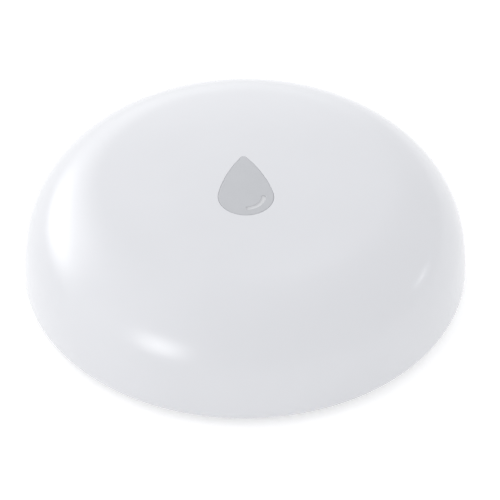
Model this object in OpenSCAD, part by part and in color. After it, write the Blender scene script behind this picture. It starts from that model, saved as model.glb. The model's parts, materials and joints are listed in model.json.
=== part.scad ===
// Water leak sensor: a pebble-shaped puck that stands on two metal probes and two moulded feet.
// The base cover twists off for the coin cell, and the grey drop on the crown is the press key.
// The origin is on the floor under the middle of the puck, and the key's tip points along +Y.

/* [Body] */
// Diameter across the widest part of the shell
body_d = 50; // [48:0.5:60]
// Height from the floor to the crown
body_h = 15; // [14.4:0.1:18]
// Air gap under the base, which lets a film of water in
foot_h = 0.7; // [0.4:0.1:1.2]
// Wall thickness of the shell
wall = 2; // [1.6:0.1:2.4]
// Radius of the shallow crown
crown_r = 140; // [110:5:220]
// Radius of the shoulder between the crown and the side
shoulder_r = 9.9; // [9:0.1:11]
// Radius of the bulge down the side
side_r = 21; // [17:0.5:28]
// Radius of the round lower edge
edge_r = 1.4; // [0.8:0.1:2]

/* [Drop key] */
// Width of the drop across its bulb
drop_w = 6.1; // [5:0.1:8]
// Length of the drop from its tip to the end of its bulb
drop_l = 10.2; // [8.5:0.1:12]
// How far the middle of the drop lies in front of the crown's centre
drop_shift = 1.7; // [0:0.1:3]
// Radius of the drop's tip
drop_tip_r = 0.4; // [0.2:0.1:0.8]
// Wall left under the crown round the key
key_wall = 1.8; // [1.4:0.1:2]
// Width of the flange that keeps the key in its window
flange_w = 1.2; // [0.8:0.1:1.6]
// Thickness of that flange
flange_t = 0.8; // [0.6:0.1:1]
// Radius of the stem that meets the switch
stem_r = 1.5; // [1:0.1:2]
// Depth of the crescent cut into the key's face
crescent_depth = 0.15; // [0.1:0.05:0.3]
// Width of the crescent
crescent_w = 0.55; // [0.4:0.05:0.8]
// How far the key goes down
key_travel = 0.3; // [0.2:0.05:0.4]

/* [Base cover] */
// Width of the base frame's rim round the cover
rim_w = 2.3; // [2:0.1:3]
// Thickness of the cover's floor
cover_t = 1.5; // [1.3:0.1:2]
// Width of the land that takes the cover's seal
land_w = 1.6; // [1.5:0.1:2]
// Thickness of the seal's section
seal_d = 1; // [0.8:0.1:1.1]
// How far the bayonet lugs reach out
lug_reach = 1.1; // [0.8:0.1:1.3]
// Thickness of the bayonet lugs
lug_t = 0.9; // [0.7:0.1:1.2]
// Angle that each lug covers
lug_angle = 26; // [20:1:30]
// Angle that the cover turns to lock
lock_angle = 30; // [28:1:34]
// Thickness of the bayonet ledges
ledge_t = 1; // [0.8:0.1:1.3]
// Height of the ledges above the cover's floor
ledge_rise = 2; // [1.7:0.1:2.4]
// Thickness of the cover's neck
neck_w = 1.5; // [1.2:0.1:1.8]
// Radius of the coin that turns the cover
coin_r = 12; // [10:0.5:14]
// Width of the coin slot
coin_slot_w = 2.2; // [1.8:0.1:2.6]
// Depth of the coin slot
coin_slot_depth = 1.3; // [1:0.1:1.6]
// Radius of a moulded foot
foot_r = 1.5; // [1:0.1:2]

/* [Probes] */
// Radius of a probe's head
probe_head_r = 2.3; // [2:0.1:2.6]
// Depth of the recess that takes the head
probe_recess = 0.5; // [0.4:0.1:0.6]
// Radius of a probe's shank
probe_r = 1.25; // [1:0.05:1.4]
// Thickness of the probe seal's section
probe_seal_d = 0.6; // [0.4:0.1:0.7]
// Width of a probe nut across its flats
nut_flats = 4.5; // [4:0.1:5]
// Thickness of a probe nut
nut_t = 1.2; // [1:0.1:1.4]
// Height of the pads that carry the contact plates
pad_h = 0.5; // [0.3:0.1:0.6]
// Thickness of a contact plate
plate_t = 0.3; // [0.2:0.1:0.4]
// Width of a contact plate
plate_w = 4; // [3.6:0.1:4.4]
// Wire thickness of a contact spring
wire_d = 0.3; // [0.2:0.05:0.4]
// Radius of a contact spring to the middle of its wire
coil_r = 0.9; // [0.7:0.05:1.1]
// Turns of a contact spring
coil_turns = 5; // [4:1:6]

/* [Coin cell] */
// Diameter of the cell
cell_d = 20; // [16:0.5:20]
// Thickness of the cell
cell_h = 3.2; // [2.5:0.1:3.2]
// Height of the cell's contacts under the board
contact_h = 0.8; // [0.6:0.1:1.2]
// Wall of the carrier that holds the cell
carrier_w = 1.4; // [1.1:0.1:1.6]
// Thickness of the carrier's screw ears
ear_t = 0.8; // [0.6:0.1:1]

/* [Circuit board] */
// Gap between the board's edge and the shell
board_gap = 1.7; // [1:0.1:2.5]
// Thickness of the board
board_t = 1; // [0.8:0.1:1.2]
// Distance of the screws from the centre
screw_at = 14; // [13.8:0.1:14.2]
// Radius of a screw's shank
screw_r = 0.9; // [0.7:0.1:1]
// Radius of a screw's head
screw_head_r = 1.6; // [1.4:0.1:1.7]
// Thickness of a screw's head
screw_head_t = 0.7; // [0.5:0.1:0.8]
// Radius of the shell's screw bosses
boss_r = 2.1; // [1.9:0.1:2.4]
// Width of the switch
switch_w = 4.4; // [4:0.1:5]
// Height of the switch body
switch_h = 1.2; // [1.1:0.1:1.4]
// Radius of the switch's plunger
plunger_r = 1.2; // [0.9:0.1:1.3]
// Height of the plunger over the switch
plunger_h = 0.5; // [0.45:0.05:0.7]

/* [Fits] */
// Gap between fixed pieces that nest
nest_gap = 0.1; // [0.05:0.01:0.15]
// Gap round pieces that turn or slide
run_gap = 0.06; // [0.04:0.01:0.1]
// Gap between faces that seat on each other
seat_gap = 0.03; // [0.02:0.01:0.05]
// Gap between pieces that pass each other freely
free_gap = 0.4; // [0.3:0.05:0.5]

/* [Hidden] */
$fn = 96;

// Overlap that joins two forms of one piece, the overshoot of a cut, and how far a flank or
// a round end stays inside the curve that it runs into
merge = 0.3;
cut = 1;
flank_in = 0.02;

// Arcs of the shell: crown, shoulder and side touch where they meet
body_r = body_d / 2;
widest_z = foot_h + edge_r;
crown_c = [0, body_h - crown_r];
side_c = [body_r - side_r, widest_z];
shoulder_c = arc_between(crown_c, crown_r - shoulder_r, side_c, side_r - shoulder_r);
shoulder_low = atan2(shoulder_c.y - side_c.y, shoulder_c.x - side_c.x);
shoulder_top = atan2(shoulder_c.y - crown_c.y, shoulder_c.x - crown_c.x);
shell_in_r = body_r - wall;

// Radii of the base, from the shell inwards
frame_r = shell_in_r - nest_gap;
mouth_r = frame_r - rim_w;
cover_r = mouth_r - run_gap;
bore_r = mouth_r - land_w;
seal_r = bore_r + land_w / 2;
lug_r = bore_r - 2 * run_gap;
neck_r = lug_r - lug_reach;
ledge_r = neck_r + 2 * run_gap;
neck_in_r = neck_r - neck_w;

// Levels of the base, from the floor up
base_z = foot_h;
cover_top = base_z + cover_t;
mouth_z = cover_top + seat_gap;
seal_z = cover_top + seat_gap + seal_d / 2;
seal_roof = seal_z + seal_d / 2 + seat_gap;
frame_web = 0.7;
frame_step_w = 1;
frame_wall = 1.6;
frame_seat = mouth_z + frame_web;
frame_step = seal_roof + frame_web;
ledge_z = cover_top + ledge_rise;
lug_z = ledge_z + ledge_t + run_gap;
neck_top = lug_z + lug_t;
frame_over = 0.5;
frame_top = neck_top + frame_over;
lugs = 3;
lug_first = 90;
lug_pitch = 360 / lugs;
entry_slack = 6;
entry_angle = lug_angle + entry_slack;
stop_slack = 1;
stop_angle = 4;
mark_r = 0.5;
lock_mark_r = 0.7;
mark_depth = 0.3;

// Probes, their nuts and the contact plates
nut_r = nut_flats / 2 / cos(30);
probe_at = neck_in_r - nut_r - nest_gap - run_gap;
recess_z = base_z + probe_recess;
probe_seal_r = probe_r + seat_gap + probe_seal_d / 2;
pad_z = cover_top + pad_h;
plate_z = pad_z + plate_t;
nut_top = plate_z + seat_gap + nut_t;
probe_end = 0.2;
probe_tip = nut_top + probe_end;

// Coin slot, cell and carrier; the cell lies over the probes where they reach under it
hook_t = 0.4;
hook_reach = 0.7;
hook_angle = 18;
slot_boss_h = 0.9;
slot_wall = 1.2;
slot_half = sqrt(coin_r * coin_r - pow(coin_r - coin_slot_depth, 2));
slot_boss_top = cover_top + slot_boss_h;
cell_r = cell_d / 2;
under_cell = probe_at - nut_r < cell_r + free_gap ? probe_tip : plate_z;
cell_z = max(slot_boss_top, under_cell) + free_gap + hook_t;
cell_top = cell_z + cell_h;
carrier_in = cell_r + 2 * nest_gap;
carrier_out = carrier_in + carrier_w;
carrier_mid = carrier_in + carrier_w / 2;
carrier_z = probe_tip + free_gap;
sheet_t = 0.2;
clip_angle = 315;
clip_w = 3.2;
clip_foot = 2.6;

// Contact springs: their tubes keep a wall to the cell, and they land past the nuts in both positions
tube_wall = 0.6;
tube_in = coil_r + wire_d / 2 + nest_gap;
tube_out = tube_in + tube_wall;
coil_at = max(probe_at, carrier_in + tube_wall + tube_in);
nut_half_angle = asin(nut_r / probe_at);
coil_half_angle = asin((coil_r + wire_d) / coil_at);
coil_lock_angle = nut_half_angle + coil_half_angle + asin(2 * free_gap / coil_at);
coil_angle = coil_lock_angle + lock_angle;
plate_start = -nut_half_angle;
plate_end = coil_angle + 2 * coil_half_angle;

// Board, switch and key
board_z = max(cell_top + contact_h, frame_top + free_gap);
board_top = board_z + board_t;
board_r = dome_r(board_top, wall) - board_gap;
screw_angles = [for (i = [0 : 2]) coil_angle + 90 + 120 * i];
screw_grip = 2.4;
ear_over = 0.3;
ear_r = screw_head_r + ear_over;
ear_z = board_z - ear_t;
arm_w = 1.5 * ear_r;
drop_r = drop_w / 2;
bulb = [0, drop_r - drop_l / 2 - drop_shift];
tip = [0, drop_l / 2 - drop_tip_r - drop_shift];
crescent_r = drop_r - 2 * crescent_w;
crescent_from = -85;
crescent_to = -5;
pocket_z = body_h - key_wall;
pocket_r = drop_l / 2 + flange_w + 2 * nest_gap;
flange_top = pocket_z - seat_gap;
flange_z = flange_top - flange_t;
plate_steel = 0.2;
switch_top = board_top + switch_h;
plunger_top = switch_top + plate_steel + plunger_h;
plunger_rim = 0.4;
plunger_rim_t = 0.4;
plunger_hole = plunger_r + run_gap;
cavity_floor = switch_h - plunger_rim_t - key_travel - 2 * run_gap;
cavity_r = plunger_r + plunger_rim + nest_gap;

// Small parts on the board: their sizes, and the angles of their places, set out from the screws
parts_at = 10;
parts_z = board_top + seat_gap;
chip_size = [6, 6, 0.85];
chip_edge = 0.08;
chip_angle = screw_angles[0] + 60;
crystal_size = [3.2, 2.5, 0.7];
crystal_edge = 0.05;
crystal_angle = chip_angle + 36;
antenna_size = [2, 8, 1];
antenna_edge = 0.1;
antenna_in = 2.2;
antenna_angle = screw_angles[2] + 60;
led_size = [1.6, 0.8, 0.5];
led_edge = 0.1;
lens_h = 0.15;
passive_size = [0.8, 1.6, 0.5];
passive_edge = 0.08;
passive_pitch = 2;
passive_rows = 2;
passive_columns = 4;
passive_angle = screw_angles[1] + 60;

function on_circle(centre, radius, angle) = centre + radius * [cos(angle), sin(angle)];

function spot(radius, angle) = [radius * cos(angle), radius * sin(angle), 0];

// Centre of an arc that lies a_r from one centre and b_r from another, right of the line between them
function arc_between(a, a_r, b, b_r) =
    let (gap = norm(b - a))
    let (along = (a_r * a_r - b_r * b_r + gap * gap) / (2 * gap))
    let (side = sqrt(a_r * a_r - along * along))
    let (way = (b - a) / gap)
    a + along * way + side * [way.y, -way.x];

// Height of the shell's surface over a radius on its crown or shoulder
function dome_z(radius, inset) =
    radius < (crown_r - inset) * cos(shoulder_top)
        ? crown_c.y + sqrt(pow(crown_r - inset, 2) - radius * radius)
        : shoulder_c.y + sqrt(pow(shoulder_r - inset, 2) - pow(radius - shoulder_c.x, 2));

// Radius of the shell's surface at a height on its side or shoulder
function dome_r(z, inset) =
    z < shoulder_c.y + (shoulder_r - inset) * sin(shoulder_low)
        ? side_c.x + sqrt(pow(side_r - inset, 2) - pow(z - side_c.y, 2))
        : shoulder_c.x + sqrt(pow(shoulder_r - inset, 2) - pow(z - shoulder_c.y, 2));

// Moves to a centre in two steps, a round one and the small rest, so that arcs meet without a step
module move_to(centre) {
    grid = 0.01;
    round_step = [for (value = centre) round(value / grid) * grid];
    translate(round_step) translate(centre - round_step) children();
}

// Slice of a disc between two angles
module slice(centre, radius, from, to) {
    reach = radius / cos((to - from) / 2) + cut;
    intersection() {
        move_to(centre) circle(radius, $fn = 360);
        polygon([centre, on_circle(centre, reach, from), on_circle(centre, reach, to)]);
    }
}

// What lies above the puck's widest level
module upper() {
    intersection() {
        children();
        translate([0, widest_z]) square([body_d, body_h]);
    }
}

// Half section of the puck above its widest level, shrunk by an inset
module dome_2d(inset) {
    upper() slice(crown_c, crown_r - inset, shoulder_top, 90);
    upper() move_to(shoulder_c) circle(shoulder_r - inset, $fn = 360);
    slice(side_c, side_r - inset, 0, shoulder_low);
}

// Half section of the whole puck down to the base, with its round lower edge
module puck_2d() {
    dome_2d(0);
    translate([0, base_z]) square([body_r - edge_r, 2 * edge_r]);
    translate([body_r - edge_r, widest_z]) circle(edge_r);
}

// Half section of the hollow inside the shell
module hollow_2d() {
    dome_2d(wall);
    translate([0, base_z - cut]) square([shell_in_r, edge_r + cut]);
}

// Ring segment between two angles
module arc_block(r_in, r_out, z, h, from, to) {
    rotate(from) rotate_extrude(angle = to - from) translate([r_in, z]) square([r_out - r_in, h]);
}

// Drop outline: a bulb and a small tip joined by flanks a hair inside their common tangents
module drop_2d(grow) {
    bulb_r = drop_r + grow;
    tip_r = drop_tip_r + grow;
    lean = acos((bulb_r - tip_r) / norm(tip - bulb));
    right = [sin(lean), cos(lean)];
    left = [-sin(lean), cos(lean)];
    translate(bulb) circle(bulb_r);
    translate(tip) circle(tip_r);
    polygon([
        bulb + (bulb_r - flank_in) * right, tip + (tip_r - flank_in) * right,
        tip + (tip_r - flank_in) * left, bulb + (bulb_r - flank_in) * left
    ]);
}

// Crescent inside the bulb, a thin arc with round ends
module crescent_2d() {
    half_w = crescent_w / 2;
    difference() {
        slice(bulb, crescent_r + half_w, crescent_from, crescent_to);
        translate(bulb) circle(crescent_r - half_w);
    }
    for (angle = [crescent_from, crescent_to])
        translate(on_circle(bulb, crescent_r, angle)) circle(half_w - flank_in);
}

// Ball whose top is the crown's surface, sunk by a depth
module crown_ball(depth) {
    translate([0, 0, crown_c.y - depth]) rotate([90, 0, 0]) sphere(crown_r, $fn = 300);
}

// Screw boss under the shell's roof
module screw_boss() {
    z = board_top + seat_gap;
    roof = dome_z(screw_at - boss_r, wall) + merge;
    translate([screw_at, 0, z]) cylinder(r = boss_r, h = roof - z);
}

// Rib inside the shell's side that stops the base frame at its depth
module seat_rib() {
    rib_w = 1.2;
    rib_h = 3;
    rib_reach = 1;
    z = frame_seat + seat_gap;
    translate([shell_in_r - rib_reach, -rib_w / 2, z]) cube([rib_reach + wall / 4, rib_w, rib_h]);
}

module top_shell() color("white") {
    seat_ribs = 6;
    roof = board_top + seat_gap + screw_grip;
    difference() {
        union() {
            rotate_extrude() difference() {
                puck_2d();
                hollow_2d();
            }
            for (angle = screw_angles) rotate(angle) screw_boss();
            for (i = [1 : seat_ribs]) rotate(360 / seat_ribs * i) seat_rib();
        }
        translate([0, -drop_shift, pocket_z - wall]) cylinder(r = pocket_r, h = wall);
        translate([0, 0, pocket_z - cut]) linear_extrude(key_wall + 2 * cut) drop_2d(run_gap);
        for (angle = screw_angles) translate(spot(screw_at, angle))
            translate([0, 0, board_top]) cylinder(r = screw_r + seat_gap, h = roof - board_top);
    }
}

module drop_key() color("silver") {
    stem_z = plunger_top + seat_gap;
    difference() {
        union() {
            intersection() {
                translate([0, 0, flange_z]) linear_extrude(body_h) drop_2d(0);
                crown_ball(0);
            }
            translate([0, 0, flange_z]) linear_extrude(flange_t) drop_2d(flange_w);
            translate([bulb.x, bulb.y, stem_z]) cylinder(r = stem_r, h = flange_z - stem_z + flange_t / 2);
        }
        difference() {
            translate([0, 0, body_h - cut]) linear_extrude(2 * cut) crescent_2d();
            crown_ball(crescent_depth);
        }
    }
}

// Rib outside the base frame's wall
module frame_gusset() {
    gusset_w = 1;
    foot = mouth_r + frame_step_w - merge;
    root = bore_r + frame_wall - merge;
    translate([root, -gusset_w / 2, frame_step - merge])
        cube([foot - root, gusset_w, frame_top - frame_step - frame_web + merge]);
}

module base_frame() color("gainsboro") {
    gussets = 6;
    mark_at = mouth_r + rim_w / 2;
    ledge_from = lug_first + entry_angle / 2;
    ledge_to = lug_first + lug_pitch - entry_angle / 2;
    stop_from = lug_first + lug_angle / 2 + lock_angle + stop_slack;
    stop_h = lug_t + run_gap;
    difference() {
        union() {
            rotate_extrude() difference() {
                polygon([
                    [mouth_r, base_z], [frame_r, base_z], [frame_r, frame_seat],
                    [mouth_r + frame_step_w, frame_seat], [mouth_r + frame_step_w, frame_step],
                    [bore_r + frame_wall, frame_step], [bore_r + frame_wall, frame_top],
                    [bore_r, frame_top], [bore_r, mouth_z], [mouth_r, mouth_z]
                ]);
                translate([seal_r - seal_d / 2 - seat_gap, mouth_z - cut])
                    square([seal_d + 2 * seat_gap, seal_roof - mouth_z + cut]);
            }
            for (i = [1 : lugs]) rotate(lug_pitch * i) {
                arc_block(ledge_r, bore_r + merge, ledge_z, ledge_t, ledge_from, ledge_to);
                arc_block(ledge_r + run_gap, bore_r + merge, lug_z - merge, stop_h + merge - run_gap,
                    stop_from, stop_from + stop_angle);
            }
            for (i = [1 : gussets]) rotate(360 / gussets * i) frame_gusset();
        }
        for (mark = [[0, mark_r], [lock_angle, lock_mark_r]])
            translate(spot(mark_at, lug_first + mark[0])) translate([0, 0, base_z - cut])
                cylinder(r = mark[1], h = mark_depth + cut);
    }
}

// Boss that closes the coin slot inside: a bar whose ends follow a circle
module slot_boss() {
    bar_w = coin_slot_w + 2 * slot_wall;
    bar_r = slot_half + slot_wall;
    translate([0, 0, cover_top - merge]) intersection() {
        cylinder(r = bar_r, h = slot_boss_h + merge);
        translate([-bar_w / 2, -bar_r, 0]) cube([bar_w, 2 * bar_r, slot_boss_h + merge]);
    }
}

// Moulded foot that stands on the floor
module foot() {
    edge = foot_h / 3;
    top = base_z + merge;
    rotate_extrude() polygon([[0, 0], [foot_r - edge, 0], [foot_r, edge], [foot_r, top], [0, top]]);
}

module battery_cover() color("gainsboro") {
    edge = 0.3;
    mark_at = cover_r - 3 * mark_r;
    coin_z = base_z + coin_slot_depth - coin_r;
    difference() {
        union() {
            rotate_extrude() polygon([
                [0, base_z], [cover_r - edge, base_z], [cover_r, base_z + edge], [cover_r, cover_top],
                [neck_r, cover_top], [neck_r, neck_top], [neck_in_r, neck_top], [neck_in_r, cover_top],
                [0, cover_top]
            ]);
            for (i = [1 : lugs]) rotate(lug_first + lug_pitch * i)
                arc_block(neck_r - merge, lug_r, lug_z, lug_t, -lug_angle / 2, lug_angle / 2);
            slot_boss();
            for (side = [-1, 1]) translate([0, side * probe_at, 0]) foot();
            for (turn = [0, 180]) rotate(turn)
                arc_block(probe_at - plate_w / 2, probe_at + plate_w / 2, cover_top - merge, pad_h + merge,
                    plate_start, plate_end);
        }
        translate([-coin_slot_w / 2, 0, coin_z]) rotate([0, 90, 0]) cylinder(r = coin_r, h = coin_slot_w);
        for (turn = [0, 180]) rotate(turn) translate([probe_at, 0, base_z - cut]) {
            cylinder(r = probe_r + seat_gap, h = pad_z + cut);
            cylinder(r = probe_head_r + nest_gap, h = probe_recess + cut);
            cylinder(r = probe_seal_r + probe_seal_d / 2 + seat_gap,
                h = probe_recess + probe_seal_d + 2 * seat_gap + cut);
        }
        translate(spot(mark_at, lug_first)) translate([0, 0, base_z - cut])
            cylinder(r = mark_r, h = mark_depth + cut);
    }
}

module cover_seal() color("dimgray") {
    rotate_extrude() translate([seal_r, seal_z]) circle(seal_d / 2);
}

module probe(turn) color("silver") {
    edge = 0.3;
    thread_edge = 0.2;
    head_top = recess_z - seat_gap;
    rotate(turn) translate([probe_at, 0, 0]) rotate_extrude() polygon([
        [0, 0], [probe_head_r - edge, 0], [probe_head_r, edge], [probe_head_r, head_top],
        [probe_r, head_top], [probe_r, probe_tip - thread_edge], [probe_r - thread_edge, probe_tip],
        [0, probe_tip]
    ]);
}

module probe_left() probe(180);

module probe_right() probe(0);

module probe_seal(turn) color("dimgray") {
    z = recess_z + probe_seal_d / 2;
    rotate(turn) translate([probe_at, 0, z]) rotate_extrude()
        translate([probe_seal_r, 0]) circle(probe_seal_d / 2);
}

module probe_seal_left() probe_seal(180);

module probe_seal_right() probe_seal(0);

module probe_nut(turn) color("goldenrod") {
    rotate(turn) translate([probe_at, 0, plate_z + seat_gap]) difference() {
        cylinder(r = nut_r, h = nut_t, $fn = 6);
        translate([0, 0, -cut]) cylinder(r = probe_r + seat_gap, h = nut_t + 2 * cut);
    }
}

module probe_nut_left() probe_nut(180);

module probe_nut_right() probe_nut(0);

module contact_plate(turn) color("goldenrod") {
    half_w = plate_w / 2;
    rotate(turn) difference() {
        arc_block(probe_at - half_w, probe_at + half_w, pad_z + seat_gap, plate_t - seat_gap,
            plate_start, plate_end);
        translate([probe_at, 0, 0]) cylinder(r = probe_r + seat_gap, h = body_h);
    }
}

module contact_plate_left() contact_plate(180);

module contact_plate_right() contact_plate(0);

// Coil of a contact spring: a lead that runs straight at each end, and the turns between
coil_low = plate_z + seat_gap;
coil_high = board_z - seat_gap;
coil_lead = wire_d;
coil_steps = 8;
coil_count = coil_turns * coil_steps;
coil_rise = (coil_high - coil_low - 2 * coil_lead) / coil_turns;
coil_path = concat(
    [[coil_r, 0, coil_low]],
    [for (i = [0 : coil_count]) [
        coil_r * cos(360 * i / coil_steps), coil_r * sin(360 * i / coil_steps),
        coil_low + coil_lead + coil_rise * i / coil_steps
    ]],
    [[coil_r, 0, coil_high]]
);
echo(spring_least_gap = min([
    for (i = [1 : coil_count]) for (j = [i + coil_steps / 2 : coil_count]) norm(coil_path[i] - coil_path[j])
]) - wire_d);

// Ring of points round a path, square to a direction
function wire_ring(point, way, out) =
    let (across = cross(way, out))
    let (side = across / norm(across))
    let (up = cross(side, way))
    [for (k = [0 : 5]) point + wire_d / 2 * (cos(60 * k) * side + sin(60 * k) * up)];

// Tube swept along a path of points, closed at both ends
module wire_tube(path) {
    last = len(path) - 1;
    ways = [for (i = [0 : last])
        i == 0 || i == last ? [0, 0, 1] : (path[i + 1] - path[i - 1]) / norm(path[i + 1] - path[i - 1])];
    rings = [for (i = [0 : last]) wire_ring(path[i], ways[i], [path[i].x, path[i].y, 0])];
    sides = [for (i = [0 : last - 1]) for (k = [0 : 5])
        let (a = 6 * i + k)
        let (b = 6 * i + (k + 1) % 6)
        each [[a, b, b + 6], [a, b + 6, a + 6]]];
    low_cap = [for (k = [1 : 4]) [0, k + 1, k]];
    high_cap = [for (k = [1 : 4]) [6 * last, 6 * last + k, 6 * last + k + 1]];
    polyhedron([for (ring = rings) each ring], concat(sides, low_cap, high_cap));
}

module probe_spring(turn) color("gold") {
    rotate(turn + coil_angle) translate([coil_at, 0, 0]) wire_tube(coil_path);
}

module probe_spring_left() probe_spring(180);

module probe_spring_right() probe_spring(0);

// Tube that holds a contact spring upright, on a rib from the carrier's wall
module spring_tube() {
    h = board_z - seat_gap - carrier_z;
    translate([0, 0, carrier_z]) difference() {
        union() {
            translate([coil_at, 0, 0]) cylinder(r = tube_out, h = h);
            translate([carrier_mid, -tube_wall, 0]) cube([coil_at - carrier_mid, 2 * tube_wall, h]);
        }
        translate([coil_at, 0, -cut]) cylinder(r = tube_in, h = h + 2 * cut);
    }
}

// Ear that a screw clamps against the board, on an arm from the carrier's wall
module screw_ear() {
    h = ear_t - seat_gap;
    translate([0, 0, ear_z]) difference() {
        union() {
            translate([screw_at, 0, 0]) cylinder(r = ear_r, h = h);
            translate([carrier_mid, -arm_w / 2, 0]) cube([screw_at - carrier_mid, arm_w, h]);
        }
        translate([screw_at, 0, -cut]) cylinder(r = screw_r + nest_gap, h = h + 2 * cut);
    }
}

// Hook that catches the cell's lower edge, on a leg from the carrier's wall
module cell_hook() {
    hook_top = cell_z - seat_gap;
    hook_z = hook_top - hook_t;
    hook_in = cell_r - hook_reach;
    leg_in = carrier_in + nest_gap;
    leg_out = carrier_out - nest_gap;
    leg_top = carrier_z + merge;
    rotate(-hook_angle / 2) rotate_extrude(angle = hook_angle) polygon([
        [hook_in, hook_z], [leg_out, hook_z], [leg_out, leg_top],
        [leg_in, leg_top], [leg_in, hook_top], [hook_in, hook_top]
    ]);
}

module cell_carrier() color("dimgray") {
    gap_w = clip_w + 2 * free_gap;
    h = board_z - seat_gap - carrier_z;
    difference() {
        rotate_extrude() translate([carrier_in, carrier_z]) square([carrier_w, h]);
        rotate(clip_angle) translate([0, -gap_w / 2, 0]) cube([body_r, gap_w, body_h]);
        for (turn = [0, 180]) rotate(coil_angle + turn) translate([coil_at, 0, 0])
            cylinder(r = tube_in, h = body_h);
    }
    for (turn = [90, 270]) rotate(turn) cell_hook();
    for (turn = [0, 180]) rotate(coil_angle + turn) spring_tube();
    for (angle = screw_angles) rotate(angle) screw_ear();
}

module coin_cell() color("lightgray") {
    edge = 0.3;
    cap_rise = 0.35;
    cap_in = 1.3;
    crimp_w = 0.8;
    crimp_top = cell_top - cap_rise;
    can_top = crimp_top - edge;
    rotate_extrude() polygon([
        [0, cell_z], [cell_r - edge, cell_z], [cell_r, cell_z + edge], [cell_r, can_top],
        [cell_r - crimp_w, crimp_top], [cell_r - cap_in, crimp_top], [cell_r - cap_in, cell_top],
        [0, cell_top]
    ]);
}

// Leaf spring under the board that bears on the cell's cap
module cell_negative_spring() color("silver") {
    spring_w = 2.6;
    root_x = -5;
    bend_x = -2.5;
    touch_x = 3;
    end_x = 4.2;
    root_z = board_z - seat_gap;
    touch_z = cell_top + seat_gap + sheet_t;
    end_z = touch_z + contact_h / 3;
    translate([0, spring_w / 2, 0]) rotate([90, 0, 0]) linear_extrude(spring_w) polygon([
        [root_x, root_z], [bend_x, root_z], [touch_x, touch_z], [end_x, end_z],
        [end_x, end_z - sheet_t], [touch_x, touch_z - sheet_t], [bend_x, root_z - sheet_t],
        [root_x, root_z - sheet_t]
    ]);
}

// Bent strip under the board that bears on the cell's side
module cell_positive_clip() color("silver") {
    top = board_z - seat_gap;
    face = cell_r + seat_gap;
    end_z = cell_z + cell_h / 4;
    rotate(clip_angle) translate([0, clip_w / 2, 0]) rotate([90, 0, 0]) linear_extrude(clip_w) polygon([
        [face, end_z], [face + sheet_t, end_z], [face + sheet_t, top - sheet_t],
        [face + clip_foot, top - sheet_t], [face + clip_foot, top], [face, top]
    ]);
}

// Board with its screw holes and two notches in its edge
module circuit_board() color("seagreen") {
    notch_r = 1.2;
    notches = [30, 150];
    difference() {
        translate([0, 0, board_z]) cylinder(r = board_r, h = board_t);
        for (angle = screw_angles) translate(spot(screw_at, angle)) translate([0, 0, board_z - cut])
            cylinder(r = screw_r + nest_gap, h = board_t + 2 * cut);
        for (angle = notches) translate(spot(board_r, angle)) translate([0, 0, board_z - cut])
            cylinder(r = notch_r, h = board_t + 2 * cut);
    }
}

module board_screws() color("silver") {
    edge = 0.25;
    head_z = ear_z - seat_gap - screw_head_t;
    shank_z = ear_z - seat_gap;
    screw_end = board_top + screw_grip - free_gap;
    for (angle = screw_angles) translate(spot(screw_at, angle)) rotate_extrude() polygon([
        [0, head_z], [screw_head_r - edge, head_z], [screw_head_r, head_z + edge], [screw_head_r, shank_z],
        [screw_r, shank_z], [screw_r, screw_end - edge], [screw_r - edge, screw_end], [0, screw_end]
    ]);
}

module switch_body() color("black") {
    translate([bulb.x, bulb.y, board_top]) difference() {
        translate([-switch_w / 2, -switch_w / 2, 0]) cube([switch_w, switch_w, switch_h - seat_gap]);
        translate([0, 0, cavity_floor]) cylinder(r = cavity_r, h = switch_h);
    }
}

// Steel plate over the switch, with two tabs folded down its sides
module switch_plate() color("silver") {
    tab_w = 1.6;
    tab_lift = 0.35;
    tab_h = switch_h - tab_lift;
    tab_out = seat_gap + plate_steel;
    translate([bulb.x, bulb.y, switch_top]) difference() {
        union() {
            translate([-switch_w / 2, -switch_w / 2, 0]) cube([switch_w, switch_w, plate_steel]);
            for (turn = [0, 180]) rotate(turn) {
                translate([switch_w / 2 - merge, -tab_w / 2, 0])
                    cube([merge + tab_out, tab_w, plate_steel]);
                translate([switch_w / 2 + seat_gap, -tab_w / 2, -tab_h])
                    cube([plate_steel, tab_w, tab_h + plate_steel]);
            }
        }
        translate([0, 0, -cut]) cylinder(r = plunger_hole, h = plate_steel + 2 * cut);
    }
}

module switch_plunger() color("white") {
    edge = 0.2;
    rim_r = plunger_r + plunger_rim;
    rim_top = switch_top - run_gap;
    rim_z = rim_top - plunger_rim_t;
    translate([bulb.x, bulb.y, 0]) rotate_extrude() polygon([
        [0, rim_z], [rim_r, rim_z], [rim_r, rim_top], [plunger_r, rim_top],
        [plunger_r, plunger_top - edge], [plunger_r - edge, plunger_top], [0, plunger_top]
    ]);
}

// Block on the board, two of its upper edges chamfered, its middle on the given spot
module board_block(size, edge) {
    translate([0, size.y / 2, parts_z]) rotate([90, 0, 0]) linear_extrude(size.y) polygon([
        [-size.x / 2, 0], [size.x / 2, 0], [size.x / 2, size.z - edge], [size.x / 2 - edge, size.z],
        [edge - size.x / 2, size.z], [-size.x / 2, size.z - edge]
    ]);
}

module status_led() color("ivory") {
    lens_r = led_size.y / 3;
    translate([tip.x, tip.y - led_size.y, 0]) {
        board_block(led_size, led_edge);
        translate([0, 0, parts_z + led_size.z - merge]) cylinder(r = lens_r, h = merge + lens_h);
    }
}

module radio_chip() color("black") {
    dot_r = 0.3;
    dot_in = 0.8;
    dot_depth = 0.1;
    rotate(chip_angle) translate([parts_at, 0, 0]) difference() {
        board_block(chip_size, chip_edge);
        translate([dot_in - chip_size.x / 2, chip_size.y / 2 - dot_in, parts_z + chip_size.z - dot_depth])
            cylinder(r = dot_r, h = cut);
    }
}

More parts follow.
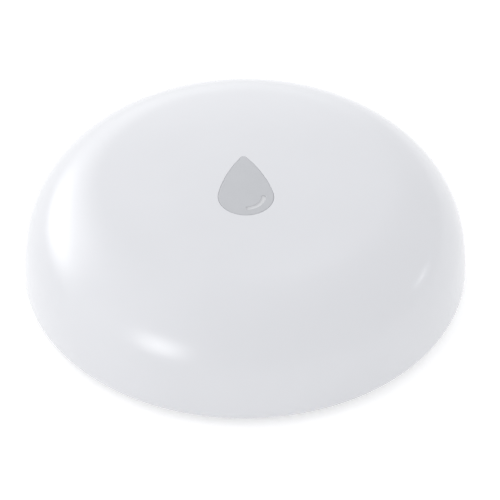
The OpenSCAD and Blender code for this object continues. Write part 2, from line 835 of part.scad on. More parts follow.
module crystal() color("lightgray") {
    lid_t = 0.2;
    lid_in = 0.3;
    rotate(crystal_angle) translate([parts_at, 0, 0]) {
        board_block(crystal_size - [0, 0, lid_t], crystal_edge);
        board_block(crystal_size - [lid_in, lid_in, 0], crystal_edge);
    }
}

module chip_antenna() color("ivory") {
    rotate(antenna_angle) translate([board_r - antenna_in, 0, 0]) board_block(antenna_size, antenna_edge);
}

module board_chips() color("tan") {
    first = [-(passive_rows - 1), -(passive_columns - 1)] * passive_pitch / 2;
    rotate(passive_angle) for (row = [0 : passive_rows - 1]) for (column = [0 : passive_columns - 1])
        translate([parts_at + first.x + passive_pitch * row, first.y + passive_pitch * column, 0])
            board_block(passive_size, passive_edge);
}

top_shell();
drop_key();
base_frame();
battery_cover();
cover_seal();
probe_left();
probe_right();
probe_seal_left();
probe_seal_right();
probe_nut_left();
probe_nut_right();
contact_plate_left();
contact_plate_right();
probe_spring_left();
probe_spring_right();
cell_carrier();
coin_cell();
cell_negative_spring();
cell_positive_clip();
circuit_board();
board_screws();
switch_body();
switch_plate();
switch_plunger();
status_led();
radio_chip();
crystal();
chip_antenna();
board_chips();
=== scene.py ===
"""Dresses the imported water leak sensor: a glossy pebble-shaped puck with a drop-shaped press key.

Sizes are in millimetres in the puck's own frame: the floor is at z = 0, and the key's tip points along +Y.
"""

import json
import logging
import math
from collections.abc import Iterable, Sequence
from dataclasses import dataclass, field
from enum import Enum, IntEnum
from functools import cache
from typing import Any

import bmesh
import bpy
import numpy as np
from mathutils import Matrix, Vector

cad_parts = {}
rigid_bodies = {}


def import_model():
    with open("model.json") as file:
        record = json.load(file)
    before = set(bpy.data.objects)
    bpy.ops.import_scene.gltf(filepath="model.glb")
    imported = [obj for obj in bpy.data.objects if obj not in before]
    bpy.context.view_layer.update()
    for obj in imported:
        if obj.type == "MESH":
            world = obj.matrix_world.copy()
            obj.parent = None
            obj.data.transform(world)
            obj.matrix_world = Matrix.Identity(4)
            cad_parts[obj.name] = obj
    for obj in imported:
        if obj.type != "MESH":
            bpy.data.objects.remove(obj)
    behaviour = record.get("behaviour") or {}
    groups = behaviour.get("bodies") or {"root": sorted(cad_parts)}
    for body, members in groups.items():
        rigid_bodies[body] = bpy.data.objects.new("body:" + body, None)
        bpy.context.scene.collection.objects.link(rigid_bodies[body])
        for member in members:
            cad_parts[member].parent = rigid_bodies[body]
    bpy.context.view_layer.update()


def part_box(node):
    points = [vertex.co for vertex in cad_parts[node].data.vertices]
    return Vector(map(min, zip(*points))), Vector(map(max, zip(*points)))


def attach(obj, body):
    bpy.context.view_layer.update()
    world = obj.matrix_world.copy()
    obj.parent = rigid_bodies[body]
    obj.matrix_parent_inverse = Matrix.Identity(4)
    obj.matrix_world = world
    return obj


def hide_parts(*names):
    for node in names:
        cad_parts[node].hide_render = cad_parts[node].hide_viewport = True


Colour = tuple[float, float, float, float]
Pair = tuple[float, float]
Triple = tuple[float, float, float]
Point = Triple
Corner = Triple
Socket = bpy.types.NodeSocket

MM = 0.001
WELD = 1e-5
SMOOTH_ANGLE = 32.0
ROUND_STEPS = 4
RIM_STEPS = 3
# Degrees from point to point along a ring segment
SECTOR_STEP = 4
# How far an added part is sunk into what carries it, and how far a cutter reaches past what it cuts
SUNK = 0.3
PAST = 1.0
UPRIGHT = Matrix.Rotation(math.radians(90), 3, "X")
SIDEWAYS = Matrix.Rotation(math.radians(90), 3, "Y")
FLIPPED = Matrix.Rotation(math.radians(180), 3, "X")

log = logging.getLogger("leak_sensor")


class Body(Enum):
    """Bodies that the pieces move with."""

    COVER = "battery_cover"
    SEAL = "cover_seal"
    HOUSING = "housing"
    KEY = "press_key"
    PLUNGER = "switch_plunger"


class Grain(Enum):
    """Ways that the tool marks run on a metal finish."""

    TURNED = "turned"
    BRUSHED = "brushed"
    PLATED = "plated"


class Merge(Enum):
    """Ways to combine two solids."""

    JOIN = "UNION"
    CUT = "DIFFERENCE"


class Facets(IntEnum):
    """Numbers of facets round a turned form, from the widest forms to the smallest."""

    RIM = 192
    COIN = 180
    CELL = 160
    NUT = 96
    PIN = 72
    BOSS = 64
    HOLE = 48
    SECTION = 36
    PINHOLE = 32


@dataclass(frozen=True)
class Extent:
    """Box of a node of the frame, in millimetres."""

    low: np.ndarray
    high: np.ndarray

    @classmethod
    def of(cls, node: str) -> "Extent":
        """Measures a node by its name."""
        low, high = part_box(node)
        return cls(np.array(low) / MM, np.array(high) / MM)

    @property
    def middle(self) -> np.ndarray:
        """Centre of the box."""
        return (self.low + self.high) / 2

    @property
    def foot(self) -> Point:
        """Point at z = 0 under the centre."""
        return (*self.middle[:2], 0.0)

    @property
    def size(self) -> np.ndarray:
        """Lengths along X, Y and Z."""
        return self.high - self.low

    @property
    def levels(self) -> Pair:
        """Heights of the lowest and the highest face."""
        return self.low[2], self.high[2]


def on_plan(radius: float, angle: float, z: float = 0.0) -> Point:
    """Place at a radius, an angle in degrees from +X and a height."""
    turn = math.radians(angle)
    return (radius * math.cos(turn), radius * math.sin(turn), z)


def arc(centre: Sequence[float], radius: float, start: float, stop: float, steps: int) -> np.ndarray:
    """Points along an arc from one angle in degrees to another, in equal steps."""
    angles = np.radians(np.linspace(start, stop, steps + 1))
    return np.asarray(centre) + radius * np.column_stack((np.cos(angles), np.sin(angles)))


def crossing(first: np.ndarray, first_r: float, second: np.ndarray, second_r: float) -> np.ndarray:
    """Finds the point on the right of two circles' centre line where they cross.

    Args:
        first: Centre of the first circle.
        first_r: Its radius.
        second: Centre of the second circle.
        second_r: Its radius.

    Returns:
        The crossing point.
    """
    way = second - first
    gap = np.linalg.norm(way)
    way = way / gap
    along = (first_r**2 - second_r**2 + gap**2) / (2 * gap)
    aside = math.sqrt(first_r**2 - along**2)
    return first + along * way + aside * np.array((way[1], -way[0]))


def bearing(start: np.ndarray, stop: np.ndarray) -> float:
    """Angle in degrees of the way from one point of the plan to another."""
    return math.degrees(math.atan2(stop[1] - start[1], stop[0] - start[0]))


def rounded(corners: Sequence[Corner], steps: int = ROUND_STEPS) -> np.ndarray:
    """Rounds the corners of a closed outline.

    Args:
        corners: Corner points, each with the radius of its round.
        steps: Number of steps in each round.

    Returns:
        Outline points as an array of two columns.
    """
    points: list[np.ndarray] = []
    for index, (x, y, radius) in enumerate(corners):
        here = np.array((x, y), float)
        if radius <= 0:
            points.append(here[None])
            continue
        ways = [np.array(corners[k % len(corners)][:2], float) - here for k in (index - 1, index + 1)]
        back, ahead = (way / np.linalg.norm(way) for way in ways)
        half = math.acos(np.clip(back @ ahead, -1, 1)) / 2
        middle = here + (back + ahead) / np.linalg.norm(back + ahead) * radius / math.sin(half)
        ends = [here + way * radius / math.tan(half) for way in (back, ahead)]
        start, stop = (bearing(middle, end) for end in ends)
        turn = (stop - start + 180) % 360 - 180
        points.append(arc(middle, radius, start, start + turn, steps))
    return np.vstack(points)


def unit_circle(count: int) -> np.ndarray:
    """Points of a circle of radius 1, anticlockwise from +X."""
    return arc((0, 0), 1, 0, 360 - 360 / count, count - 1)


def slab(length: float, width: float, corner: float) -> np.ndarray:
    """Outline of a rectangle with round corners, its length along X and its middle at the origin."""
    x, y = length / 2, width / 2
    return rounded([(-x, -y, corner), (x, -y, corner), (x, y, corner), (-x, y, corner)])


def sector(inner: float, outer: float, angles: Pair, corner: float) -> np.ndarray:
    """Lays the outline of a ring segment with round corners.

    Args:
        inner: Inner radius.
        outer: Outer radius.
        angles: First and last angle in degrees.
        corner: Radius of its four corners.

    Returns:
        Outline points, anticlockwise.
    """
    start, stop = angles
    steps = max(2, round((stop - start) / SECTOR_STEP))
    far, near = arc((0, 0), outer, start, stop, steps), arc((0, 0), inner, stop, start, steps)
    rounds = [corner, *[0.0] * (steps - 1), corner] * 2
    return rounded([(x, y, radius) for (x, y), radius in zip(np.vstack((far, near)), rounds)])


def offset(outline: np.ndarray, distance: float) -> np.ndarray:
    """Moves a closed outline that runs anticlockwise outwards.

    Args:
        outline: Outline points as an array of two columns.
        distance: How far it moves, inwards where it is negative.

    Returns:
        Moved points, one for each point of the outline.
    """
    ahead = np.roll(outline, -1, axis=0) - outline
    ahead /= np.linalg.norm(ahead, axis=1)[:, None]
    normals = np.column_stack((ahead[:, 1], -ahead[:, 0]))
    pair = normals + np.roll(normals, 1, axis=0)
    return outline + distance * 2 * pair / (pair**2).sum(axis=1)[:, None]


def raised(outline: np.ndarray, z: float | np.ndarray) -> np.ndarray:
    """Ring of points in space: a flat outline at a height, or at one height for each point."""
    return np.column_stack((outline, np.broadcast_to(z, len(outline))))


@dataclass
class Blank:
    """Closed solid in millimetres, which other solids are joined to or cut from."""

    points: np.ndarray
    faces: list[list[int]]

    @classmethod
    def swept(cls, rings: Sequence[np.ndarray], closed: bool = False) -> "Blank":
        """Lays a skin over rings of points.

        Args:
            rings: Rings with the same number of points each.
            closed: Whether the last ring joins the first one; if not, both ends are capped.

        Returns:
            The solid.
        """
        count, last = len(rings[0]), len(rings) - 1
        pairs = [(i, i + 1) for i in range(last)] + ([(last, 0)] if closed else [])
        faces = [
            [count * a + k, count * a + (k + 1) % count, count * b + (k + 1) % count, count * b + k]
            for a, b in pairs
            for k in range(count)
        ]
        if not closed:
            faces.append(list(range(count))[::-1])
            faces.append(list(range(count * last, count * (last + 1))))
        return cls(np.vstack(rings), faces)

    @classmethod
    def turned(cls, corners: Sequence[Corner], count: int, steps: int = ROUND_STEPS) -> "Blank":
        """Turns a section about the Z axis; each corner has its radius, its height and its round."""
        turn = unit_circle(count)
        return cls.swept([raised(r * turn, z) for r, z in rounded(corners, steps)], closed=True)

    @classmethod
    def extruded(cls, outline: np.ndarray, low: float, high: float, edge: float = 0) -> "Blank":
        """Raises an outline into a plate with round rims.

        Args:
            outline: Closed outline that runs anticlockwise.
            low: Height of the lower face.
            high: Height of the upper face.
            edge: Radius of the round rims.

        Returns:
            The solid.
        """
        if edge <= 0:
            return cls.swept([raised(outline, low), raised(outline, high)])
        lower = arc((-edge, low + edge), edge, -90, 0, RIM_STEPS)
        upper = arc((-edge, high - edge), edge, 0, 90, RIM_STEPS)
        return cls.swept([raised(offset(outline, grow), z) for grow, z in np.vstack((lower, upper))])

    @classmethod
    def folded(cls, corners: Sequence[Corner], width: float, edge: float) -> "Blank":
        """Makes a folded strip from its side view in X and Z, with its width along Y."""
        return cls.extruded(rounded(corners), -width / 2, width / 2, edge).moved(lean=UPRIGHT)

    @classmethod
    def drill(cls, radius: float, low: float, high: float, count: int = Facets.HOLE) -> "Blank":
        """Makes a cutter for a round hole that runs past two levels."""
        return cls.extruded(radius * unit_circle(count), low - PAST, high + PAST)

    @classmethod
    def dimple(cls, radius: float, depth: float) -> "Blank":
        """Makes a cutter for a round dimple with an eased mouth, in a face that looks down at z = 0."""
        mouth, ease = radius + depth / 3, depth / 3
        return cls.turned([
            (0, -PAST, 0), (mouth, -PAST, 0), (mouth, 0, 0),
            (radius, ease, 0), (radius, depth, ease), (0, depth, 0),
        ], Facets.HOLE)

    @classmethod
    def tube(cls, path: np.ndarray, radius: float, sides: int) -> "Blank":
        """Draws a round wire along a path.

        Args:
            path: Points of its middle line.
            radius: Radius of the wire.
            sides: Number of facets round it.

        Returns:
            The solid.
        """
        ways = np.gradient(path, axis=0)
        ways /= np.linalg.norm(ways, axis=1)[:, None]
        turn = unit_circle(sides)
        side = np.cross(ways[0], (0.0, 0.0, 1.0))
        rings = []
        for point, way in zip(path, ways):
            side = side - way * (side @ way)
            side /= np.linalg.norm(side)
            rings.append(point + radius * turn @ np.array((side, np.cross(way, side))))
        return cls.swept(rings)

    @classmethod
    def gathered(cls, blanks: Sequence["Blank"]) -> "Blank":
        """Puts separate solids into one.

        Args:
            blanks: The solids.

        Returns:
            All of them as one, without a boolean.
        """
        starts = np.cumsum([0, *(len(blank.points) for blank in blanks)]).tolist()
        faces = [[start + k for k in face] for blank, start in zip(blanks, starts) for face in blank.faces]
        return cls(np.vstack([blank.points for blank in blanks]), faces)

    def moved(
        self, place: Sequence[float] = (0, 0, 0), turn: float = 0, lean: Matrix | None = None
    ) -> "Blank":
        """Copies the solid to another place.

        Args:
            place: How far it moves, after it has turned.
            turn: Angle in degrees that it turns about the Z axis.
            lean: Rotation that comes before the turn.

        Returns:
            The copy.
        """
        rotation = Matrix.Rotation(math.radians(turn), 3, "Z")
        if lean is not None:
            rotation = rotation @ lean
        return Blank(self.points @ np.array(rotation).T + np.asarray(place, float), self.faces)

    def around(self, angles: Iterable[float], at: float = 0.0) -> list["Blank"]:
        """Copies that turn about the Z axis to each of the angles, and stand at a radius."""
        return [self.moved(on_plan(at, angle), angle) for angle in angles]

    def spaced(self, angles: Iterable[float], at: float) -> list["Blank"]:
        """Copies at a radius and each of the angles, all turned alike."""
        return [self.moved(on_plan(at, angle)) for angle in angles]

    def pair(self, x: float = 0.0, y: float = 0.0) -> list["Blank"]:
        """Two copies on opposite sides of where it stands."""
        return [self.moved((side * x, side * y, 0)) for side in (-1, 1)]

    def joined(self, *others: "Blank") -> "Blank":
        """The union of this solid with others."""
        return self._combined(Merge.JOIN, others)

    def cut(self, *others: "Blank") -> "Blank":
        """This solid less the others."""
        return self._combined(Merge.CUT, others)

    def mesh(self, name: str) -> bpy.types.Mesh:
        """Writes the solid as a mesh with welded points and outward faces.

        Args:
            name: Name of the mesh.

        Returns:
            The mesh, still in millimetres.
        """
        mesh = bpy.data.meshes.new(name)
        mesh.from_pydata(self.points.tolist(), [], self.faces)
        shape = bmesh.new()
        shape.from_mesh(mesh)
        bmesh.ops.remove_doubles(shape, verts=shape.verts, dist=WELD)
        bmesh.ops.recalc_face_normals(shape, faces=shape.faces)
        shape.to_mesh(mesh)
        shape.free()
        return mesh

    def _combined(self, way: Merge, others: Sequence["Blank"]) -> "Blank":
        """Combines this solid with each of the others in turn.

        Args:
            way: Whether they are joined to it or cut from it.
            others: The other solids.

        Returns:
            The combined solid.
        """
        scene = bpy.context.scene.collection.objects
        blanks = [bpy.data.objects.new("blank", one.mesh("blank")) for one in (self, *others)]
        for blank in blanks:
            scene.link(blank)
        for tool in blanks[1:]:
            step = blanks[0].modifiers.new("combine", "BOOLEAN")
            step.operation = way.value
            step.solver = "MANIFOLD"
            step.object = tool
        mesh = bpy.data.meshes.new_from_object(blanks[0].evaluated_get(bpy.context.evaluated_depsgraph_get()))
        points = np.array([vertex.co for vertex in mesh.vertices]).reshape(-1, 3)
        faces = [list(face.vertices) for face in mesh.polygons]
        for used in [*(blank.data for blank in blanks), mesh]:
            bpy.data.meshes.remove(used)
        return Blank(points, faces)


class Graph:
    """Short calls for the nodes of one tree."""

    def __init__(self, owner: bpy.types.Material | bpy.types.World | bpy.types.Light) -> None:
        """Takes up the tree of a material, a world or a lamp."""
        owner.use_nodes = True
        self.tree = owner.node_tree

    def feed(self, socket: Socket, value: Any) -> None:
        """Links an output to a socket, or sets the socket's own value.

        Args:
            socket: Input socket.
            value: Output to link, or a plain value.
        """
        if isinstance(value, Socket):
            self.tree.links.new(value, socket)
        else:
            socket.default_value = value

    def wire(self, node: bpy.types.Node, **inputs: Any) -> None:
        """Feeds sockets of a node by name, with an underscore for each space."""
        for name, value in inputs.items():
            self.feed(node.inputs[name.replace("_", " ")], value)

    def add(self, kind: str, *values: Any, operation: str | None = None, **inputs: Any) -> bpy.types.Node:
        """Adds a node.

        Args:
            kind: Type of the shader node.
            *values: Values or outputs for its first sockets, in order.
            operation: What a math node does.
            **inputs: Values or outputs for sockets by name.

        Returns:
            The node.
        """
        node = self.tree.nodes.new(f"ShaderNode{kind}")
        if operation is not None:
            node.operation = operation
        for socket, value in zip(node.inputs, values):
            self.feed(socket, value)
        self.wire(node, **inputs)
        return node

    def math(self, operation: str, *values: Any) -> Socket:
        """Works with numbers, one after the other."""
        return self.add("Math", *values, operation=operation).outputs[0]

    def vector(self, operation: str, output: str, *values: Any) -> Socket:
        """Works with vectors, one after the other, and gives the named output."""
        return self.add("VectorMath", *values, operation=operation).outputs[output]

    def spread(self, value: Socket, low: float, high: float, start: float = 0.3, stop: float = 0.7) -> Socket:
        """Maps the range from start to stop onto the range from low to high."""
        node = self.add("MapRange", Value=value, From_Min=start, From_Max=stop, To_Min=low, To_Max=high)
        return node.outputs["Result"]

    def mix(self, share: Socket, first: Any, second: Any) -> Socket:
        """Mixes two colours.

        Args:
            share: Share of the second colour, from 0 to 1.
            first: First colour or output.
            second: Second colour or output.

        Returns:
            The mixed colour.
        """
        node = self.add("Mix", share)
        node.data_type = "RGBA"
        colours = [socket for socket in node.inputs if socket.type == "RGBA"]
        for socket, value in zip(colours, (first, second)):
            self.feed(socket, value)
        return next(socket for socket in node.outputs if socket.type == "RGBA")


class Surface(Graph):
    """Node tree of one material, with its shader and the piece's own coordinates."""

    def __init__(self, name: str) -> None:
        """Starts a material.

        Args:
            name: Name of the material.
        """
        self.material = bpy.data.materials.new(name)
        super().__init__(self.material)
        self.shader = self.tree.nodes["Principled BSDF"]
        coordinates = self.add("TexCoord").outputs
        self.place, self.normal = coordinates["Object"], coordinates["Normal"]

    def set(self, **inputs: Any) -> None:
        """Feeds sockets of the shader by name."""
        self.wire(self.shader, **inputs)

    def noise(self, size: float, layers: float, place: Socket | None = None) -> Socket:
        """Cloudy values with grains of a size in millimetres, on the piece's own coordinates or on others."""
        where = self.place if place is None else place
        return self.add("TexNoise", Vector=where, Scale=1 / (size * MM), Detail=layers).outputs["Fac"]

    def bump(self, height: Socket, depth: float) -> None:
        """Raises the surface by a height map, with its depth in millimetres."""
        self.set(Normal=self.add("Bump", Height=height, Distance=depth * MM).outputs["Normal"])


def shade(colour: Colour, share: float) -> Colour:
    """A colour made lighter or darker by a share."""
    return (*(min(1.0, value * share) for value in colour[:3]), colour[3])


@dataclass(frozen=True)
class Finish:
    """Finish with soft clouds in its colour, and a fine grain that roughens and raises it.

    Attributes:
        slot: Material slot of the record.
        colour: Its middle colour.
        rough: Its least and its greatest roughness.
        grain: Size of a grain in millimetres.
        depth: Height of a grain in millimetres.
        layers: Number of finer layers in the grain.
        cloud: Size of a cloud in millimetres.
        cloud_layers: Number of finer layers in the clouds.
        tones: Darkest and lightest share of the colour.
    """

    slot: str
    colour: Colour
    rough: Pair
    grain: float = 0.25
    depth: float = 0.002
    layers: float = 3.0
    cloud: float = 12.0
    cloud_layers: float = 3.0
    tones: Pair = (0.988, 1.012)

    @property
    def kind(self) -> str:
        """Word for the finish in the material's name."""
        return type(self).__name__.lower()

    @cache
    def material(self) -> bpy.types.Material:
        """Makes the material, once for all the pieces that share the finish.

        Returns:
            The dressed material.
        """
        surface = Surface(f"{self.slot}_{self.kind}")
        self.dress(surface)
        return surface.material

    def dress(self, surface: Surface) -> None:
        """Gives the shader its colour, roughness and grain.

        Args:
            surface: Tree of the material.
        """
        grain = surface.noise(self.grain, self.layers, self.along(surface))
        clouds = surface.spread(surface.noise(self.cloud, self.cloud_layers), 0, 1)
        dark, light = (shade(self.colour, tone) for tone in self.tones)
        surface.set(Base_Color=surface.mix(clouds, dark, light), Roughness=surface.spread(grain, *self.rough))
        surface.bump(grain, self.depth)

    def along(self, surface: Surface) -> Socket:
        """Coordinates that the grain follows."""
        return surface.place


@dataclass(frozen=True)
class Moulding(Finish):
    """Injection-moulded plastic: an even colour with faint flow clouds and a fine skin."""


@dataclass(frozen=True)
class Rubber(Finish):
    """Soft elastomer: a matt skin with dust-fine grain and a soft sheen."""

    grain: float = 0.12
    depth: float = 0.006
    layers: float = 4.0
    cloud: float = 4.0
    cloud_layers: float = 2.0
    tones: Pair = (0.97, 1.03)
    sheen: float = 0.1

    def dress(self, surface: Surface) -> None:
        """Adds the sheen."""
        super().dress(surface)
        surface.set(Sheen_Weight=self.sheen)


@dataclass(frozen=True)
class Metal(Finish):
    """Bare or plated metal with a faint film and the marks of how it was made."""

    grain: float = 0.06
    depth: float = 0.0015
    cloud: float = 2.5
    cloud_layers: float = 4.0
    tones: Pair = (0.95, 1.03)
    marks: Grain = Grain.PLATED
    stroke: Point = (0.04, 1.0, 1.0)

    @property
    def kind(self) -> str:
        """Word for the finish in the material's name."""
        return self.marks.value

    def dress(self, surface: Surface) -> None:
        """Makes the surface a metal."""
        super().dress(surface)
        surface.set(Metallic=1.0)

    def along(self, surface: Surface) -> Socket:
        """Draws the marks out along the tool's path.

        Args:
            surface: Tree of the material.

        Returns:
            Coordinates of the marks.
        """
        if self.marks is Grain.PLATED:
            return surface.place
        if self.marks is Grain.BRUSHED:
            return surface.vector("MULTIPLY", "Vector", surface.place, self.stroke)
        flat = surface.vector("MULTIPLY", "Vector", surface.place, (1.0, 1.0, 0.0))
        height = surface.add("SeparateXYZ", surface.place).outputs["Z"]
        radius = surface.vector("LENGTH", "Value", flat)
        return surface.add("CombineXYZ", X=radius, Z=height).outputs["Vector"]


@dataclass(frozen=True)
class Laminate(Finish):
    """Circuit board: a mask over copper runs that change direction from patch to patch, and a bare edge."""

    grain: float = 0.3
    depth: float = 0.015
    layers: float = 2.0
    tones: Pair = (1.0, 1.25)
    run: Colour = (0.03, 0.17, 0.075, 1)
    core: Colour = (0.5, 0.43, 0.24, 1)
    run_pitch: float = 0.7
    run_share: float = 0.16
    patch: float = 4.5
    bare_share: float = 0.3
    flat_from: float = 0.7
    coat: float = 0.3

    def dress(self, surface: Surface) -> None:
        """Lays the mask and the runs, which stand a little proud, and leaves the edge bare.

        Args:
            surface: Tree of the material.
        """
        patches = surface.add("TexVoronoi", Vector=surface.place, Scale=1 / (self.patch * MM))
        patch = surface.add("SeparateColor", patches.outputs["Color"]).outputs
        place = surface.add("SeparateXYZ", surface.place).outputs
        rows, columns = (self._lines(surface, place[axis]) for axis in ("X", "Y"))
        chosen = surface.math("GREATER_THAN", patch[0], 0.5)
        change = surface.math("MULTIPLY", chosen, surface.math("SUBTRACT", columns, rows))
        face = surface.math("ABSOLUTE", surface.add("SeparateXYZ", surface.normal).outputs["Z"])
        masked = surface.math("GREATER_THAN", face, self.flat_from)
        filled = surface.math("GREATER_THAN", patch[1], self.bare_share)
        shown = surface.math("MULTIPLY", filled, masked)
        runs = surface.math("MULTIPLY", surface.math("ADD", rows, change), shown)
        weave = surface.noise(self.grain, self.layers)
        mask = surface.mix(surface.spread(weave, 0, 1), *(shade(self.colour, tone) for tone in self.tones))
        surface.set(
            Base_Color=surface.mix(masked, self.core, surface.mix(runs, mask, self.run)),
            Roughness=surface.spread(weave, *self.rough),
            Coat_Weight=self.coat,
        )
        surface.bump(runs, self.depth)

    def _lines(self, surface: Surface, distance: Socket) -> Socket:
        """Draws lines that lie one pitch apart.

        Args:
            surface: Tree of the material.
            distance: Distance across the lines.

        Returns:
            1 on the lines and 0 beside them.
        """
        step = surface.math("FRACT", surface.math("DIVIDE", distance, self.run_pitch * MM))
        aside = surface.math("ABSOLUTE", surface.math("SUBTRACT", step, 0.5))
        return surface.math("LESS_THAN", aside, self.run_share)


@dataclass(frozen=True)
class Resin(Finish):
    """Moulded resin or fired ceramic of a small board part, with grit in its colour."""

    grain: float = 0.08
    depth: float = 0.004
    cloud: float = 0.08
    tones: Pair = (0.85, 1.12)
    glow: float = 0.0
    glow_reach: Point = (0.4, 0.4, 0.3)

    def dress(self, surface: Surface) -> None:
        """Lets light a little way in."""
        super().dress(surface)
        surface.set(Subsurface_Weight=self.glow, Subsurface_Radius=[MM * reach for reach in self.glow_reach])


SHELL_WHITE = Moulding("shell_white", (0.67, 0.675, 0.7, 1), (0.153, 0.187), grain=0.6, depth=0.0005)
KEY_GREY = Rubber("key_grey", (0.465, 0.473, 0.494, 1), (0.42, 0.58))
KEY_LIGHT = Rubber("key_grey", (0.62, 0.625, 0.64, 1), (0.37, 0.53), grain=0.1)
BASE_WHITE = Moulding("base_white", (0.6, 0.602, 0.612, 1), (0.378, 0.462), depth=0.008)
SEAL_GREY = Rubber("seal_grey", (0.07, 0.072, 0.078, 1), (0.47, 0.63))
PROBE_STEEL = Metal("probe_steel", (0.72, 0.71, 0.69, 1), (0.15, 0.26), marks=Grain.TURNED)
CONTACT_BRASS = Metal("contact_brass", (0.83, 0.62, 0.3, 1), (0.18, 0.312), marks=Grain.BRUSHED)
SPRING_GOLD = Metal("spring_gold", (0.95, 0.72, 0.36, 1), (0.135, 0.234))
CARRIER_GREY = Moulding("carrier_grey", (0.12, 0.125, 0.135, 1), (0.45, 0.55), depth=0.01)
CELL_METAL = Metal("cell_metal", (0.74, 0.74, 0.73, 1), (0.195, 0.338), marks=Grain.TURNED)
CONTACT_STEEL = Metal("contact_steel", (0.7, 0.7, 0.7, 1), (0.21, 0.364), marks=Grain.BRUSHED)
BOARD_GREEN = Laminate("board_green", (0.012, 0.09, 0.045, 1), (0.26, 0.38))
SCREW_STEEL = Metal("screw_steel", (0.58, 0.58, 0.59, 1), (0.225, 0.39))
SWITCH_BLACK = Moulding("switch_black", (0.018, 0.018, 0.02, 1), (0.405, 0.495), depth=0.006)
PLUNGER_WHITE = Moulding("plunger_white", (0.7, 0.7, 0.68, 1), (0.36, 0.44))
LED_CLEAR = Resin("led_clear", (0.75, 0.74, 0.66, 1), (0.18, 0.32), glow=0.4)
CHIP_BLACK = Resin("chip_black", (0.02, 0.02, 0.022, 1), (0.43, 0.57))
CRYSTAL_METAL = Metal("crystal_metal", (0.75, 0.73, 0.68, 1), (0.225, 0.39), marks=Grain.BRUSHED)
ANTENNA_CERAMIC = Resin("antenna_ceramic", (0.72, 0.7, 0.63, 1), (0.43, 0.57), glow=0.1)
CHIP_CERAMIC = Resin("chip_ceramic", (0.42, 0.3, 0.19, 1), (0.38, 0.52))


def put(
    name: str, blank: Blank, finish: Finish, body: Body, *nodes: str, place: Sequence[float] = (0, 0, 0)
) -> bpy.types.Object:
    """Makes a piece of a solid and sets it on its body.

    Args:
        name: Name of the piece.
        blank: Solid in millimetres, round its own origin.
        finish: Finish of the piece, whose tool marks run round that origin.
        body: Body that it moves with.
        *nodes: Nodes of the frame that it stands for.
        place: Where the origin goes, in the puck's frame.

    Returns:
        The piece.
    """
    mesh = blank.mesh(name)
    mesh.transform(Matrix.Scale(MM, 4))
    mesh.shade_smooth()
    mesh.set_sharp_from_angle(angle=math.radians(SMOOTH_ANGLE))
    mesh.materials.append(finish.material())
    piece = bpy.data.objects.new(name, mesh)
    piece.location = Vector(place) * MM
    bpy.context.scene.collection.objects.link(piece)
    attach(piece, body.value)
    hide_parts(*nodes)
    log.info("%s: %d faces on %s", name, len(mesh.polygons), body.value)
    return piece


@dataclass(frozen=True)
class Layout:
    """Places and sizes that several sub-assemblies share."""

    screw_at: float = 14.0
    spring_at: float = 13.522
    spring_angle: float = 49.63
    board_top: float = 8.93
    probe_bore: float = 1.28
    contact_w: float = 4.0
    contact_angles: Pair = (-11.07, 59.8)

    @property
    def screw_angles(self) -> list[float]:
        """Angles of the three screws in degrees, the first a quarter turn from a spring."""
        return [self.spring_angle + 90 + 120 * index for index in range(3)]

    @property
    def spring_angles(self) -> Pair:
        """Angles of the two springs in degrees."""
        return (self.spring_angle, self.spring_angle + 180)

    def contact_strip(self, at: float, corner: float) -> np.ndarray:
        """Outline of a contact plate or its pad, with its middle line at a radius."""
        half = self.contact_w / 2
        return sector(at - half, at + half, self.contact_angles, corner)


@dataclass
class Dome:
    """Surface of the puck: a shallow crown, a round shoulder and a bulged side that touch where they meet."""

    body_r: float
    body_h: float
    base_z: float
    crown_r: float = 140.0
    shoulder_r: float = 9.9
    side_r: float = 21.0
    edge_r: float = 1.4
    wall: float = 2.0
    widest_z: float = field(init=False)
    crown_c: np.ndarray = field(init=False)
    side_c: np.ndarray = field(init=False)
    shoulder_c: np.ndarray = field(init=False)

    def __post_init__(self) -> None:
        """Finds the centres of the three arcs."""
        self.widest_z = self.base_z + self.edge_r
        self.crown_c = np.array((0.0, self.body_h - self.crown_r))
        self.side_c = np.array((self.body_r - self.side_r, self.widest_z))
        to_crown, to_side = self.crown_r - self.shoulder_r, self.side_r - self.shoulder_r
        self.shoulder_c = crossing(self.crown_c, to_crown, self.side_c, to_side)

    @classmethod
    def measured(cls) -> "Dome":
        """Takes the dome's outer sizes from the shell in the frame."""
        shell = Extent.of("top_shell")
        return cls(body_r=shell.high[0], body_h=shell.high[2], base_z=shell.low[2])

    def crown_z(self, plan: np.ndarray, inset: float = 0.0) -> np.ndarray:
        """Heights of the crown over points of the plan."""
        return self.crown_c[1] + np.sqrt((self.crown_r - inset) ** 2 - (plan**2).sum(axis=1))

    def flank(self, inset: float, start: float, steps: int) -> np.ndarray:
        """Lays the section from the crown down to the widest level.

        Args:
            inset: Depth under the outer surface.
            start: Radius where it starts on the crown.
            steps: Number of steps on the shoulder; the other arcs have about half as many.

        Returns:
            Points of radius and height.
        """
        crown_r, top = self.crown_r - inset, bearing(self.crown_c, self.shoulder_c)
        low = bearing(self.side_c, self.shoulder_c)
        crown = arc(self.crown_c, crown_r, math.degrees(math.acos(start / crown_r)), top, steps // 3)
        shoulder = arc(self.shoulder_c, self.shoulder_r - inset, top, low, steps)
        side = arc(self.side_c, self.side_r - inset, low, 0, steps // 2)
        return np.vstack((crown, shoulder[1:], side[1:]))


